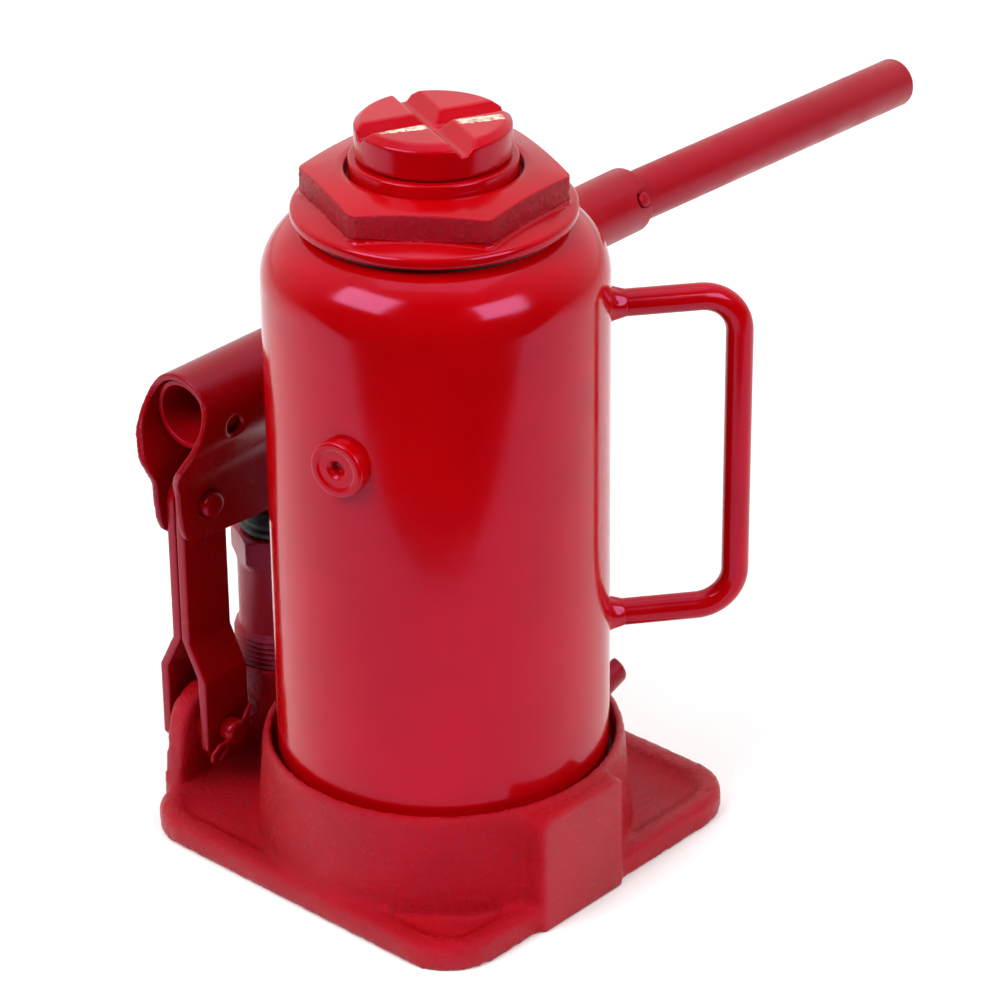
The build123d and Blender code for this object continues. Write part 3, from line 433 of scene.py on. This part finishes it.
def nut_outline(angle):
    """The nut's section at an angle, from its neck round its flange and hexagon to its bore."""
    reach = min(hexagon(angle, nut_flats, nut_turn), turned_radius)
    wall_top = nut_face - (reach - cone_start) * cone_slope
    wall_foot = flange_rise - (reach - nut_flats / 2) * flange_slope
    path = rounded([
        (ram_bore, nut_foot, 0), (neck_radius, nut_foot, 0), (neck_radius, flange_foot, 0),
        (flange_radius, flange_foot, 1.3), (flange_radius, flange_top, 1.9), (reach, wall_foot, 1.4),
        (reach, wall_top, 0.6), (cone_start, nut_face, 2.0),
        (recess_radius, nut_face, 0.8), (recess_radius, recess_foot, 0), (ram_bore, recess_foot, 0)], 5)
    wall = []
    for a, b in zip(path, path[1:] + path[:1]):
        wall.append(a)
        if abs(a.x - reach) < 0.7 and abs(b.x - reach) < 0.7 and abs(a.y - b.y) > 2.0:
            wall += [a.lerp(b, k / wall_steps) for k in range(1, wall_steps)]
    bumpy = []
    for point in wall:
        x, y = point.x * math.cos(angle), point.x * math.sin(angle)
        push = 0.0
        if point.x > nut_flats / 2 - 1.0 and wall_foot + forge_edge < point.y < wall_top - forge_edge:
            push = forge_depth * noise.fractal(Vector((x, y, point.y)) * 0.95, 0.8, 2.2, 4)
        bumpy.append((point.x + push, point.y))
    return bumpy


nut_enamel = enamel("nut enamel", 0.15, 0.000012, flats=(flange_rise * mm, (cone_end + 0.6) * mm))
nut = turned("top_nut", nut_outline, nut_enamel, steps=720, sharp=50)
fitted(nut, "jack_body", "nut_enamel", "top_nut")

# Ram. A ground steel bar rises out of the nut; its exposed end was sprayed with the rest of the jack.
# The piston head, cup and nut on its foot are inside the cylinder.
ram_low, ram_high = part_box("ram")
ram_radius, ram_top = ram_high[0] / mm, ram_high[2] / mm
thread_bore = 17.06
relief_bore, relief_top = 19.3, 205.0
ram_foot, ram_floor = 48.0, 96.0
spigot_radius = 12.0
paint_edge = 240.5


def opened(material):
    """An enamel's nodes and links, its Principled shader, its Object coordinates and its red."""
    nodes, links = material.node_tree.nodes, material.node_tree.links
    principled = nodes["Principled BSDF"]
    place = nodes["Texture Coordinate"].outputs["Object"]
    return nodes, links, principled, place, principled.inputs["Base Color"].links[0].from_socket


def bare_below(name, height, gloss):
    """Red enamel down to a height, and ground steel below its ragged edge."""
    material = enamel(name, gloss, 0.00001)
    nodes, links, principled, place, red = opened(material)
    ragged = reckon(nodes, links, "MULTIPLY", grain(nodes, links, place, 0.004, 3.0), 0.0012)
    level = reckon(nodes, links, "ADD", axis_of(nodes, links, place, "Z"), ragged)
    steel = spread(nodes, links, level, height, height + 0.3 * mm, 1.0, 0.0)
    ground = (0.42, 0.42, 0.44, 1.0)
    links.new(tint(nodes, links, steel, red, ground), principled.inputs["Base Color"])
    links.new(steel, principled.inputs["Metallic"])
    shine = tint(nodes, links, steel, enamel_shine, (1.0, 1.0, 1.0, 1.0))
    links.new(shine, principled.inputs["Specular Tint"])
    return material


ram_enamel = bare_below("ram enamel", paint_edge * mm, 0.14)
ram_outline = rounded([
    (0.0, ram_low[2] / mm, 0), (spigot_radius, ram_low[2] / mm, 0.5), (spigot_radius, ram_foot, 0),
    (ram_radius, ram_foot, 0.5), (ram_radius, ram_top, 0.9), (thread_bore, ram_top, 0.5),
    (thread_bore, relief_top, 0), (relief_bore, relief_top, 0), (relief_bore, ram_floor, 0),
    (0.0, ram_floor, 0)])
ram = turned("ram_bar", ram_outline, ram_enamel, steps=180)
fitted(ram, "ram_body", "ram_enamel", "ram")
turned_steel = plain("turned steel", (0.40, 0.40, 0.42, 1.0), 0.30, 1.0, 0.0012, 0.00002)
dressed(turned_steel, "piston_head", "piston_nut", "cylinder_tube", "pump_plunger", "screw_stop_ring",
        "overload_screw")

# Extension screw and saddle. The screw has a coarse rolled thread, and its head is a forged saddle with
# two crossed V grooves. Use has scraped the enamel off along one groove, down to pale primer.
screw_low, screw_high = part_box("extension_screw")
screw_foot, screw_head = screw_low[2] / mm, screw_high[2] / mm
screw_radius = screw_high[0] / mm
thread_pitch = 5.0
thread_depth = 1.5
thread_start = 146.5
thread_end = screw_head - 2.0
thread_run_out = 3.0
screw_relief = 15.6


def screw_outline(angle):
    """The screw's section at an angle. A rolled thread rises by one pitch a turn."""
    path = [(0.0, screw_foot), (screw_relief, screw_foot), (screw_relief, thread_start)]
    steps = 220
    for k in range(steps + 1):
        z = thread_start + (thread_end - thread_start) * k / steps
        wave = abs(((z / thread_pitch - angle / (2 * math.pi)) % 1.0) - 0.5) * 2
        fade = min(1.0, (z - thread_start) / thread_run_out, (thread_end - z) / thread_run_out)
        path.append((screw_radius - thread_depth * (1 - fade * min(1.0, 1.35 * wave)), z))
    return path + [(screw_relief, thread_end), (screw_relief, screw_head), (0.0, screw_head)]


screw = turned("extension_screw", screw_outline, turned_steel, steps=120, sharp=60)
fitted(screw, "screw_body", "machined_steel", "extension_screw")

groove_turn = math.radians(156)
scrape_offset, scrape_slant, scrape_wander = 6.8, 0.106, 3.4
scrape_core, scrape_edge = 1.9, 2.3
scrape_inner, scrape_outer = (4.5, 6.5), (18.5, 20.5)
scrape_foot = (255.8, 256.4)


def scraped(name, gloss):
    """Red enamel worn through to pale primer in a slanted strip beside one groove."""
    material = enamel(name, gloss, 0.00001)
    nodes, links, principled, place, red = opened(material)
    turn = nodes.new("ShaderNodeMapping")
    turn.inputs["Rotation"].default_value = (0.0, 0.0, -groove_turn)
    links.new(place, turn.inputs["Vector"])
    along = axis_of(nodes, links, turn.outputs["Vector"], "X")
    across = axis_of(nodes, links, turn.outputs["Vector"], "Y")
    ragged = grain(nodes, links, place, 0.0022, 6.0, 0.7)
    level = reckon(nodes, links, "SUBTRACT", ragged, 0.5)
    wander = reckon(nodes, links, "MULTIPLY", level, scrape_wander * mm)
    slant = reckon(nodes, links, "MULTIPLY", along, scrape_slant)
    side = reckon(nodes, links, "ADD", reckon(nodes, links, "ADD", across, slant), wander)
    off_line = reckon(nodes, links, "SUBTRACT", side, scrape_offset * mm)
    off_line = reckon(nodes, links, "ABSOLUTE", off_line, 0.0)
    along = reckon(nodes, links, "ABSOLUTE", along, 0.0)
    height = axis_of(nodes, links, place, "Z")
    bare = spread(nodes, links, grain(nodes, links, place, 0.0034, 5.0, 0.7), 0.37, 0.46)
    for limit in (
            spread(nodes, links, off_line, scrape_core * mm, scrape_edge * mm, 1.0, 0.0),
            spread(nodes, links, along, scrape_inner[0] * mm, scrape_inner[1] * mm),
            spread(nodes, links, along, scrape_outer[0] * mm, scrape_outer[1] * mm, 1.0, 0.0),
            spread(nodes, links, height, scrape_foot[0] * mm, scrape_foot[1] * mm)):
        bare = reckon(nodes, links, "MULTIPLY", bare, limit)
    pale, stained = (0.72, 0.66, 0.50, 1.0), (0.42, 0.26, 0.18, 1.0)
    primer = tint(nodes, links, spread(nodes, links, ragged, 0.42, 0.62), pale, stained)
    links.new(tint(nodes, links, bare, red, primer), principled.inputs["Base Color"])
    return material


saddle_enamel = scraped("saddle enamel", 0.17)
saddle = frozen(painted("saddle", "saddle_head", 0.42, 7, saddle_enamel))
smooth(saddle, 70)
fitted(saddle, "screw_body", "saddle_enamel", "saddle")

# Carry handle. A 9 mm rod is bent square and welded to the tank at both ends; each weld flares
# out on the tank in a bell-shaped fillet.
handle_turn = math.radians(-38)
handle_reach = 98.0
handle_low, handle_high = 79.0, 191.0
handle_rod = 4.5
handle_bend = 13.0


def rod_along(tree, inputs):
    """Sweeps a round rod along the object's own path, with its corners bent to a radius."""
    bend = tree.nodes.new("GeometryNodeFilletCurve")
    bend.mode = "POLY"
    bend.inputs["Limit Radius"].default_value = True
    tree.links.new(inputs["Geometry"], bend.inputs["Curve"])
    tree.links.new(inputs["Bend Radius"], bend.inputs["Radius"])
    tree.links.new(inputs["Bend Steps"], bend.inputs["Count"])
    ring = tree.nodes.new("GeometryNodeCurvePrimitiveCircle")
    tree.links.new(inputs["Rod Sides"], ring.inputs["Resolution"])
    tree.links.new(inputs["Rod Radius"], ring.inputs["Radius"])
    sweep = tree.nodes.new("GeometryNodeCurveToMesh")
    sweep.inputs["Fill Caps"].default_value = True
    tree.links.new(bend.outputs["Curve"], sweep.inputs["Curve"])
    tree.links.new(ring.outputs["Curve"], sweep.inputs["Profile Curve"])
    return sweep.outputs["Mesh"]


def bent_rod(name, paths, radius, bend, material, sides=32, steps=12):
    """Rods through lists of points in metres, each bent at its corners."""
    curve = bpy.data.curves.new(name, "CURVE")
    curve.dimensions = "3D"
    for path in paths:
        spline = curve.splines.new("POLY")
        spline.points.add(len(path) - 1)
        for point, spot in zip(spline.points, path):
            point.co = (*spot, 1.0)
    curve.materials.append(material)
    obj = bpy.data.objects.new(name, curve)
    bpy.context.scene.collection.objects.link(obj)
    tree_on(obj, "rod along a path", {"Rod Radius": radius * mm, "Bend Radius": bend * mm,
                                      "Rod Sides": sides, "Bend Steps": steps}, rod_along)
    obj = frozen(obj)
    work = bmesh.new()
    work.from_mesh(obj.data)
    bmesh.ops.remove_doubles(work, verts=work.verts, dist=0.002 * mm)
    bmesh.ops.recalc_face_normals(work, faces=work.faces)
    work.to_mesh(obj.data)
    work.free()
    return smooth(obj)


def beside(angle, reach, height):
    """A point beside the ram's axis, in metres, from an angle and sizes in millimetres."""
    return Vector((reach * math.cos(angle) * mm, reach * math.sin(angle) * mm, height * mm))


def out_of_tank(angle, height, sunk):
    """Stands local z straight out of the tank's wall, from a little below its surface."""
    stand = Matrix.Translation(beside(angle, tank_radius - sunk, height))
    return stand @ Euler((0.0, math.pi / 2, angle)).to_matrix().to_4x4()


handle_foot = tank_radius - 2.0
handle_corners = [(handle_foot, handle_high), (handle_reach, handle_high), (handle_reach, handle_low),
                  (handle_foot, handle_low)]
handle_path = [beside(handle_turn, reach, height) for reach, height in handle_corners]
handle = bent_rod("carry_handle_rod", [handle_path], handle_rod, handle_bend, tank_enamel, 48, 16)
fitted(handle, "jack_body", "tank_enamel", "carry_handle")

weld_foot_radius, weld_length = 7.1, 6.0
weld_bore, weld_root = handle_rod - 0.6, -3.0
weld_steps = 16


def weld_outline(angle):
    """A weld fillet's section: it flares to the tank in a hollow curve, with a few soft ripples."""
    path = [(weld_bore, weld_root), (weld_bore, weld_length + 0.4)]
    for k in range(weld_steps + 1):
        s = k / weld_steps
        ripple = 0.18 * math.sin(7 * angle + 2.0 * s) * s * (1 - s) * 4
        flare = (weld_foot_radius - handle_rod) * (1 - (1 - s) ** 0.45)
        path.append((handle_rod + 0.05 + flare + ripple, weld_length * (1 - s)))
    return path + [(weld_foot_radius + 0.3, weld_root)]


welds = []
for height in (handle_low, handle_high):
    weld_place = out_of_tank(handle_turn, height, 0.6)
    welds.append(turned("handle_welds", weld_outline, tank_enamel, weld_place, 64, 60))
with bpy.context.temp_override(active_object=welds[0], selected_editable_objects=welds):
    bpy.ops.object.join()
fitted(welds[0], "jack_body", "tank_enamel", "carry_handle_welds")

# Filler plug. A moulded button with a pinhole vent snaps into the tank wall and was painted over with it.
plug_turn = math.radians(-169.4)
plug_height = 163.0
plug_radius, plug_stand = 9.4, 4.4
plug_enamel = enamel("plug enamel", 0.16, 0.00001)
plug_outline = rounded([
    (1.1, -4.0, 0), (6.0, -4.0, 0), (6.0, -1.6, 0), (plug_radius, -1.6, 0),
    (plug_radius, plug_stand, 1.9), (7.0, plug_stand - 0.1, 0.7), (6.2, plug_stand - 0.6, 0.7),
    (3.3, plug_stand - 0.5, 0.8), (2.3, plug_stand - 1.6, 0.6), (1.7, plug_stand - 3.4, 0.3),
    (0.0, plug_stand - 3.8, 0), (0.0, -4.0, 0)], 5)
plug_place = out_of_tank(plug_turn, plug_height, 0.4)
plug = turned("oil_filler_plug", plug_outline, plug_enamel, plug_place, 96)
fitted(plug, "jack_body", "plug_red_rubber", "filler_plug")

# Pump. A hexagon-headed steel cylinder screws into the boss on the base. A black rubber seal caps it,
# and the plunger's flattened eye rises through the seal to the handle socket.
pump_low, pump_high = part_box("pump_cylinder")
pump_middle = Vector(((pump_low[0] + pump_high[0]) / 2, (pump_low[1] + pump_high[1]) / 2, 0.0))
pump_foot, pump_top = pump_low[2] / mm, pump_high[2] / mm
pump_flats, pump_turn = 29.0, math.radians(3.3)
pump_body, pump_thread = 14.5, 16.5
thread_foot, thread_top = 39.0, 51.0
pump_hex_foot = 77.0
pump_bore, packing_bore, packing_foot = 7.05, 10.5, 78.0
fine_pitch, fine_depth = 2.0, 1.15


def pump_outline(angle):
    """The pump cylinder's section at an angle: threaded foot, plain body and chamfered hexagon."""
    reach = hexagon(angle, pump_flats, pump_turn, 90)
    drop = (reach - pump_flats / 2) * 0.5
    path = [(pump_bore, pump_foot), (pump_thread - 0.6, pump_foot), (pump_thread - 0.6, thread_foot)]
    steps = 72
    for k in range(steps + 1):
        z = thread_foot + (thread_top - 0.8 - thread_foot) * k / steps
        wave = abs(((z / fine_pitch - angle / (2 * math.pi)) % 1.0) - 0.5) * 2
        path.append((pump_thread - fine_depth * (1 - wave), z))
    path += [(pump_body + 0.3, thread_top), (pump_body, thread_top + 0.4), (pump_body, pump_hex_foot - 2.4)]
    path += rounded([
        (pump_body, pump_hex_foot - 2.2, 0), (reach, pump_hex_foot + drop, 0.4),
        (reach, pump_top - drop - 0.01, 0.4), (pump_flats / 2 - 0.4, pump_top, 0.6),
        (packing_bore, pump_top, 0)], 3)[:-1]
    return path + [(packing_bore, pump_top), (packing_bore, packing_foot), (pump_bore, packing_foot)]


# Painted shade: the pump and valve enamel uses the darker linkage red.
fitting_enamel = enamel("fitting enamel", 0.18, 0.00002, 0.02, 0.0002, 0.001, shade_darkened_red)
pump = turned("pump_barrel", pump_outline, fitting_enamel, Matrix.Translation(pump_middle), 240, 50)
fitted(pump, "jack_body", "fitting_enamel", "pump_cylinder")
seal_rubber = plain("black seal rubber", (0.012, 0.012, 0.013, 1.0), 0.5, 0.0, 0.003, 0.00005)
cap_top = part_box("pump_dust_seal")[1][2] / mm
cap = turned("pump_dust_cap", rounded([
    (7.3, pump_top, 0), (13.0, pump_top, 0.8), (13.0, pump_top + 2.4, 0.6), (11.6, pump_top + 2.9, 0.5),
    (11.6, pump_top + 3.9, 0.5), (12.2, pump_top + 4.5, 0.5), (9.8, cap_top, 1.2), (7.3, cap_top, 0.5)]),
    seal_rubber, Matrix.Translation(pump_middle), 96)
fitted(cap, "jack_body", "black_seal_rubber", "pump_dust_seal")
dressed(seal_rubber, "pump_packing", "piston_cup", "ram_gland_seal", "ram_wiper", "release_valve_ring")

# Links. Two sheared steel strips are joggled apart at the foot to straddle the base lug. A headed pin,
# held by a split pin through its near end, hinges them there; the same enamel covers all of it.
# Painted shade: the links' enamel uses the darker linkage red.
linkage_enamel = enamel("linkage enamel", 0.24, 0.00001, colour=shade_darkened_red)
for node, name in (("link_plate_near", "near_link"), ("link_plate_far", "far_link")):
    link = frozen(painted(node, name, 0.5, 5, linkage_enamel))
    fitted(smooth(link, 60), "link_body", "linkage_enamel", node)

# Painted shade: the pins' enamel uses the darker linkage red.
pin_enamel = enamel("pin enamel", 0.18, 0.00002, 0.0, 0.0001, 0.002, shade_darkened_red)
toward_y = Euler((-math.pi / 2, 0.0, 0.0)).to_matrix().to_4x4()
pin_dome = 0.15


def pin(name, node, body, slot, crown, steps=64):
    """A plain round pin along Y with domed ends, in the place of its CAD node."""
    low, high = (Vector(corner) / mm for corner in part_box(node))
    radius, half = (high.x - low.x) / 2, (high.y - low.y) / 2
    middle = (low + high) / 2
    outline = rounded([
        (0.0, -half, 0), (radius, pin_dome - half, crown), (radius, half - pin_dome, crown),
        (0.0, half, 0)], 6)
    obj = turned(name, outline, pin_enamel, Matrix.Translation(middle * mm) @ toward_y, steps)
    return fitted(obj, body, slot, node)


lever_low, lever_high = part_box("lever_tube")
linkage_y = (lever_low[1] + lever_high[1]) / 2 / mm
lug_middle = Vector((-31.5, linkage_y, 27.5))
pin_near, pin_radius = 16.6, 4.5
pin_head_at, pin_head_end, pin_head_radius = 11.2, 13.6, 6.0
lug_pin_outline = rounded([
    (0.0, -pin_near, 0), (pin_radius, pin_dome - pin_near, 2.2), (pin_radius, pin_head_at, 0),
    (pin_head_radius, pin_head_at, 0.5), (pin_head_radius, pin_head_end - 0.1, 1.4),
    (0.0, pin_head_end, 0)], 6)
lug_pin_place = Matrix.Translation(lug_middle * mm) @ toward_y
lug_pin = turned("link_foot_pin", lug_pin_outline, pin_enamel, lug_pin_place, 64)
fitted(lug_pin, "jack_body", "pin_enamel", "lug_pin")
split_turn = math.radians(34)
split_run = Vector((math.cos(split_turn), 0.0, math.sin(split_turn)))
split_rise = Vector((-math.sin(split_turn), 0.0, math.cos(split_turn)))
split_out = 14.4
split_middle = lug_middle - Vector((0.0, split_out, 0.0))
split_wire, split_half = 0.85, 0.66
eye_half, eye_far, leg_far = 2.3, 12.9, 10.4
split_route = [
    (leg_far, 2.5), (5.4, split_half), (-5.0, split_half), (-7.6, eye_half), (1.6 - eye_far, eye_half),
    (-eye_far, 0.9), (-eye_far, -0.9), (1.6 - eye_far, -eye_half), (-7.6, -eye_half), (-5.0, -split_half),
    (5.4, -split_half), (leg_far - 1.2, -2.8)]
split_path = [(split_middle + split_run * a + split_rise * b) * mm for a, b in split_route]
split_bend = 1.6
split_pin = bent_rod("split_pin", [split_path], split_wire, split_bend, pin_enamel, 14, 5)
fitted(split_pin, "jack_body", "pin_enamel", "lug_split_pin")

# Handle socket. One steel sheet is folded over the lever and pinched in below it to two hanging ears;
# the links and the pump plunger are pinned between the ears.
socket = frozen(painted("handle_socket", "lever_socket", 0.6, 7, linkage_enamel))
fitted(smooth(socket, 60), "handle_body", "linkage_enamel", "handle_socket")
pin("fulcrum_rivet", "fulcrum_pin", "handle_body", "pin_enamel", 1.8)
pin("plunger_rivet", "plunger_pin", "handle_body", "pin_enamel", 0.9)
dressed(pin_enamel, "plunger_pin_clips")

# Lever. A lower tube slides in the socket, and a thinner grip tube telescopes in it, sagging by its
# play; a stud on the grip tube locks in a notch cut in the lower tube's end.
lever_head, lever_rise = (-36.0, 143.65), 0.97
lever_radius, lever_bore = 12.2, 10.05
lever_start, lever_end = -35.0, 188.0
grip_mouth, grip_rise = (188.0, 146.89), -0.69
grip_radius, grip_bore = 9.45, 7.4
grip_start, grip_end = 150.0, 349.0
notch_turn = math.radians(23)
notch_width, notch_depth = 7.2, 7.0
# Painted shade: the lever's red is a darker copy of the tank's enamel.
lever_enamel = enamel("lever enamel", 0.34, 0.00001, colour=(0.30, 0.0004, 0.0030, 1.0))


def tube_place(x, point, rise):
    """Stands local z along a leaning tube, from one x of its axis."""
    lean = math.radians(rise)
    middle = Vector((x, linkage_y, point[1] + (x - point[0]) * math.tan(lean)))
    return Matrix.Translation(middle * mm) @ Euler((0.0, math.pi / 2 - lean, 0.0)).to_matrix().to_4x4()


lever_length = lever_end - lever_start
lever_place = tube_place(lever_start, lever_head, lever_rise)
lever_outline = rounded([
    (lever_bore, 0.0, 0.5), (lever_radius, 0.0, 0.6), (lever_radius, lever_length, 0.7),
    (lever_bore, lever_length, 0.5)])
lever = turned("lever_tube_lower", lever_outline, lever_enamel, lever_place, 144)
notch_out = Vector((-math.sin(notch_turn), -math.cos(notch_turn), 0.0))
notch_across = Vector((-math.cos(notch_turn), math.sin(notch_turn), 0.0))


def notch_cutter():
    """A slug in the shape of the notch: a slot with a round end, open past the tube's mouth."""
    half = notch_width / 2
    round_end = lever_length - notch_depth + half
    mouth = lever_length + 3.0
    rim = []
    for k in range(17):
        a = math.pi / 2 + math.pi * k / 16
        rim.append((round_end + half * math.cos(a), half * math.sin(a)))
    rim += [(mouth, -half - 0.4), (mouth, half + 0.4)]
    work = bmesh.new()
    ends = []
    for reach in (6.0, 16.0):
        spots = [Vector((0, 0, z)) + notch_across * side + notch_out * reach for z, side in rim]
        ends.append([work.verts.new(lever_place @ (spot * mm)) for spot in spots])
    inner, outer = ends
    work.faces.new(inner)
    work.faces.new(reversed(outer))
    for k in range(len(rim)):
        n = (k + 1) % len(rim)
        work.faces.new((inner[k], outer[k], outer[n], inner[n]))
    bmesh.ops.recalc_face_normals(work, faces=work.faces)
    obj = bpy.data.objects.new("notch cutter", bpy.data.meshes.new("notch cutter"))
    work.to_mesh(obj.data)
    work.free()
    bpy.context.scene.collection.objects.link(obj)
    return obj


cutter = notch_cutter()
cut = lever.modifiers.new("notch", "BOOLEAN")
cut.operation = "DIFFERENCE"
cut.solver = "EXACT"
cut.object = cutter
lever = frozen(lever)
bpy.data.objects.remove(cutter)
smooth(lever, 35)
fitted(lever, "lever_body", "lever_enamel", "lever_tube")

grip_length = grip_end - grip_start
grip_cap = grip_length - 1.6
grip_outline = rounded([
    (grip_bore, 0.0, 0.4), (grip_radius, 0.0, 0.5), (grip_radius, grip_length, 1.3), (0.0, grip_length, 0),
    (0.0, grip_cap, 0), (grip_bore, grip_cap, 0)])
grip_place = tube_place(grip_start, grip_mouth, grip_rise)
grip = turned("lever_tube_grip", grip_outline, lever_enamel, grip_place, 120)
fitted(grip, "grip_body", "lever_enamel", "grip_tube")
stud_radius, stud_foot, stud_top, stud_back = 2.65, 6.2, 12.8, 3.3
stud_place = (tube_place(lever_end - stud_back, grip_mouth, grip_rise)
              @ notch_out.to_track_quat("Z", "Y").to_matrix().to_4x4())
stud_outline = rounded([
    (0.0, stud_foot, 0), (stud_radius, stud_foot, 0.2), (stud_radius, stud_top - 0.2, 1.2),
    (0.0, stud_top, 0)])
stud = turned("lever_stud", stud_outline, lever_enamel, stud_place, 48)
fitted(stud, "grip_body", "lever_enamel", "grip_stud")

# Release valve. A slotted screw, turned with the notched end of the lever, runs through a hexagon gland
# nut into the base. Letting it out lets the oil back and the ram down.
valve = frozen(painted("release_valve", "release_screw", 0.42, 4, fitting_enamel))
fitted(smooth(valve, 60), "valve_body", "fitting_enamel", "release_valve")
gland = frozen(painted("release_gland_nut", "release_gland", 0.42, 4, fitting_enamel))
fitted(smooth(gland, 60), "jack_body", "fitting_enamel", "release_gland_nut")

# Inner pieces. Check balls, springs, washers and the strainer sit in the base's drillings, bare and oily.
bearing_steel = plain("bearing steel", (0.55, 0.55, 0.57, 1.0), 0.12, 1.0, 0.003, 0.000005)
copper = plain("soft copper", (0.60, 0.27, 0.15, 1.0), 0.35, 1.0)
brass = plain("strainer brass", (0.60, 0.42, 0.16, 1.0), 0.35, 1.0)
dressed(bearing_steel, "suction_ball", "delivery_ball", "overload_ball", "overload_spring")
dressed(copper, "cylinder_washer", "pump_washer")
dressed(brass, "oil_strainer")

# Studio. A pale seamless floor that ends just in front of the jack, a bright backdrop behind, a large
# soft light overhead and two softboxes that draw the highlights on the tank's shoulder.
to_viewer = Vector((-0.737, -0.676, 0.0))
to_side = Vector((0.676, -0.737, 0.0))
floor_front, floor_back, floor_half = 0.30, -8.0, 6.0
floor_mesh = bpy.data.meshes.new("floor")
floor_corners = [
    to_viewer * ahead + to_side * aside
    for ahead, aside in ((floor_front, -floor_half), (floor_front, floor_half),
                         (floor_back, floor_half), (floor_back, -floor_half))]
floor_mesh.from_pydata(floor_corners, [], [(0, 1, 2, 3)])
floor = bpy.data.objects.new("floor", floor_mesh)
bpy.context.scene.collection.objects.link(floor)
floor_paint = shader("pale floor")[0]
principled = floor_paint.node_tree.nodes["Principled BSDF"]
principled.inputs["Base Color"].default_value = (0.90, 0.90, 0.90, 1.0)
principled.inputs["Roughness"].default_value = 0.9
principled.inputs["Specular IOR Level"].default_value = 0.1
floor_mesh.materials.append(floor_paint)

world = bpy.data.worlds.new("studio")
bpy.context.scene.world = world
world.use_nodes = True
nodes, links = world.node_tree.nodes, world.node_tree.links
brightest_way = (0.62, 0.56, 0.55)
direction = nodes.new("ShaderNodeTexCoord")
toward_back = nodes.new("ShaderNodeVectorMath")
toward_back.operation = "DOT_PRODUCT"
toward_back.inputs[1].default_value = brightest_way
links.new(direction.outputs["Generated"], toward_back.inputs[0])
fall = nodes.new("ShaderNodeMapRange")
for name, number in (("From Min", -0.10), ("From Max", 0.66), ("To Min", 0.04), ("To Max", 1.0)):
    fall.inputs[name].default_value = number
links.new(toward_back.outputs["Value"], fall.inputs["Value"])
links.new(fall.outputs["Result"], nodes["Background"].inputs["Strength"])
nodes["Background"].inputs["Color"].default_value = (1.0, 1.0, 1.0, 1.0)


def softbox(name, turn, rise, distance, width, height, power, aim=(0.0, 0.0, 0.13)):
    """A rectangular light at a heading and a rise in degrees seen from the jack, turned to face it."""
    data = bpy.data.lights.new(name, "AREA")
    data.shape = "RECTANGLE"
    data.size, data.size_y, data.energy = width, height, power
    obj = bpy.data.objects.new(name, data)
    turn, rise = math.radians(turn), math.radians(rise)
    away = Vector((math.cos(turn) * math.cos(rise), math.sin(turn) * math.cos(rise), math.sin(rise)))
    obj.location = Vector(aim) + away * distance
    obj.rotation_euler = away.to_track_quat("Z", "Y").to_euler()
    bpy.context.scene.collection.objects.link(obj)


softbox("left softbox", 166, 44, 1.7, 1.00, 0.80, 26.0)
softbox("right softbox", -90, 33, 1.7, 0.90, 0.70, 20.0)
softbox("overhead softbox", 30, 82, 2.0, 1.6, 1.6, 10.0)

bpy.context.scene.view_settings.view_transform = "Standard"
camera_data = bpy.data.cameras.new("camera")
camera_data.sensor_width = 36.0
camera_data.lens = 142.94
camera_data.clip_start, camera_data.clip_end = 0.05, 30.0
camera = bpy.data.objects.new("camera", camera_data)
yaw, rise, roll = math.radians(-47.69), math.radians(27.595), -0.0096
back = Vector((math.sin(yaw) * math.cos(rise), -math.cos(yaw) * math.cos(rise), math.sin(rise)))
level = Vector((math.cos(yaw), math.sin(yaw), 0.0))
plumb = back.cross(level)
right = level * math.cos(roll) + plumb * math.sin(roll)
up = plumb * math.cos(roll) - level * math.sin(roll)
camera_place = Matrix((right, up, back)).transposed().to_4x4()
camera_place.translation = Vector((-0.8245, -0.7768, 0.7182))
camera.matrix_world = camera_place
bpy.context.scene.collection.objects.link(camera)
bpy.context.scene.camera = camera
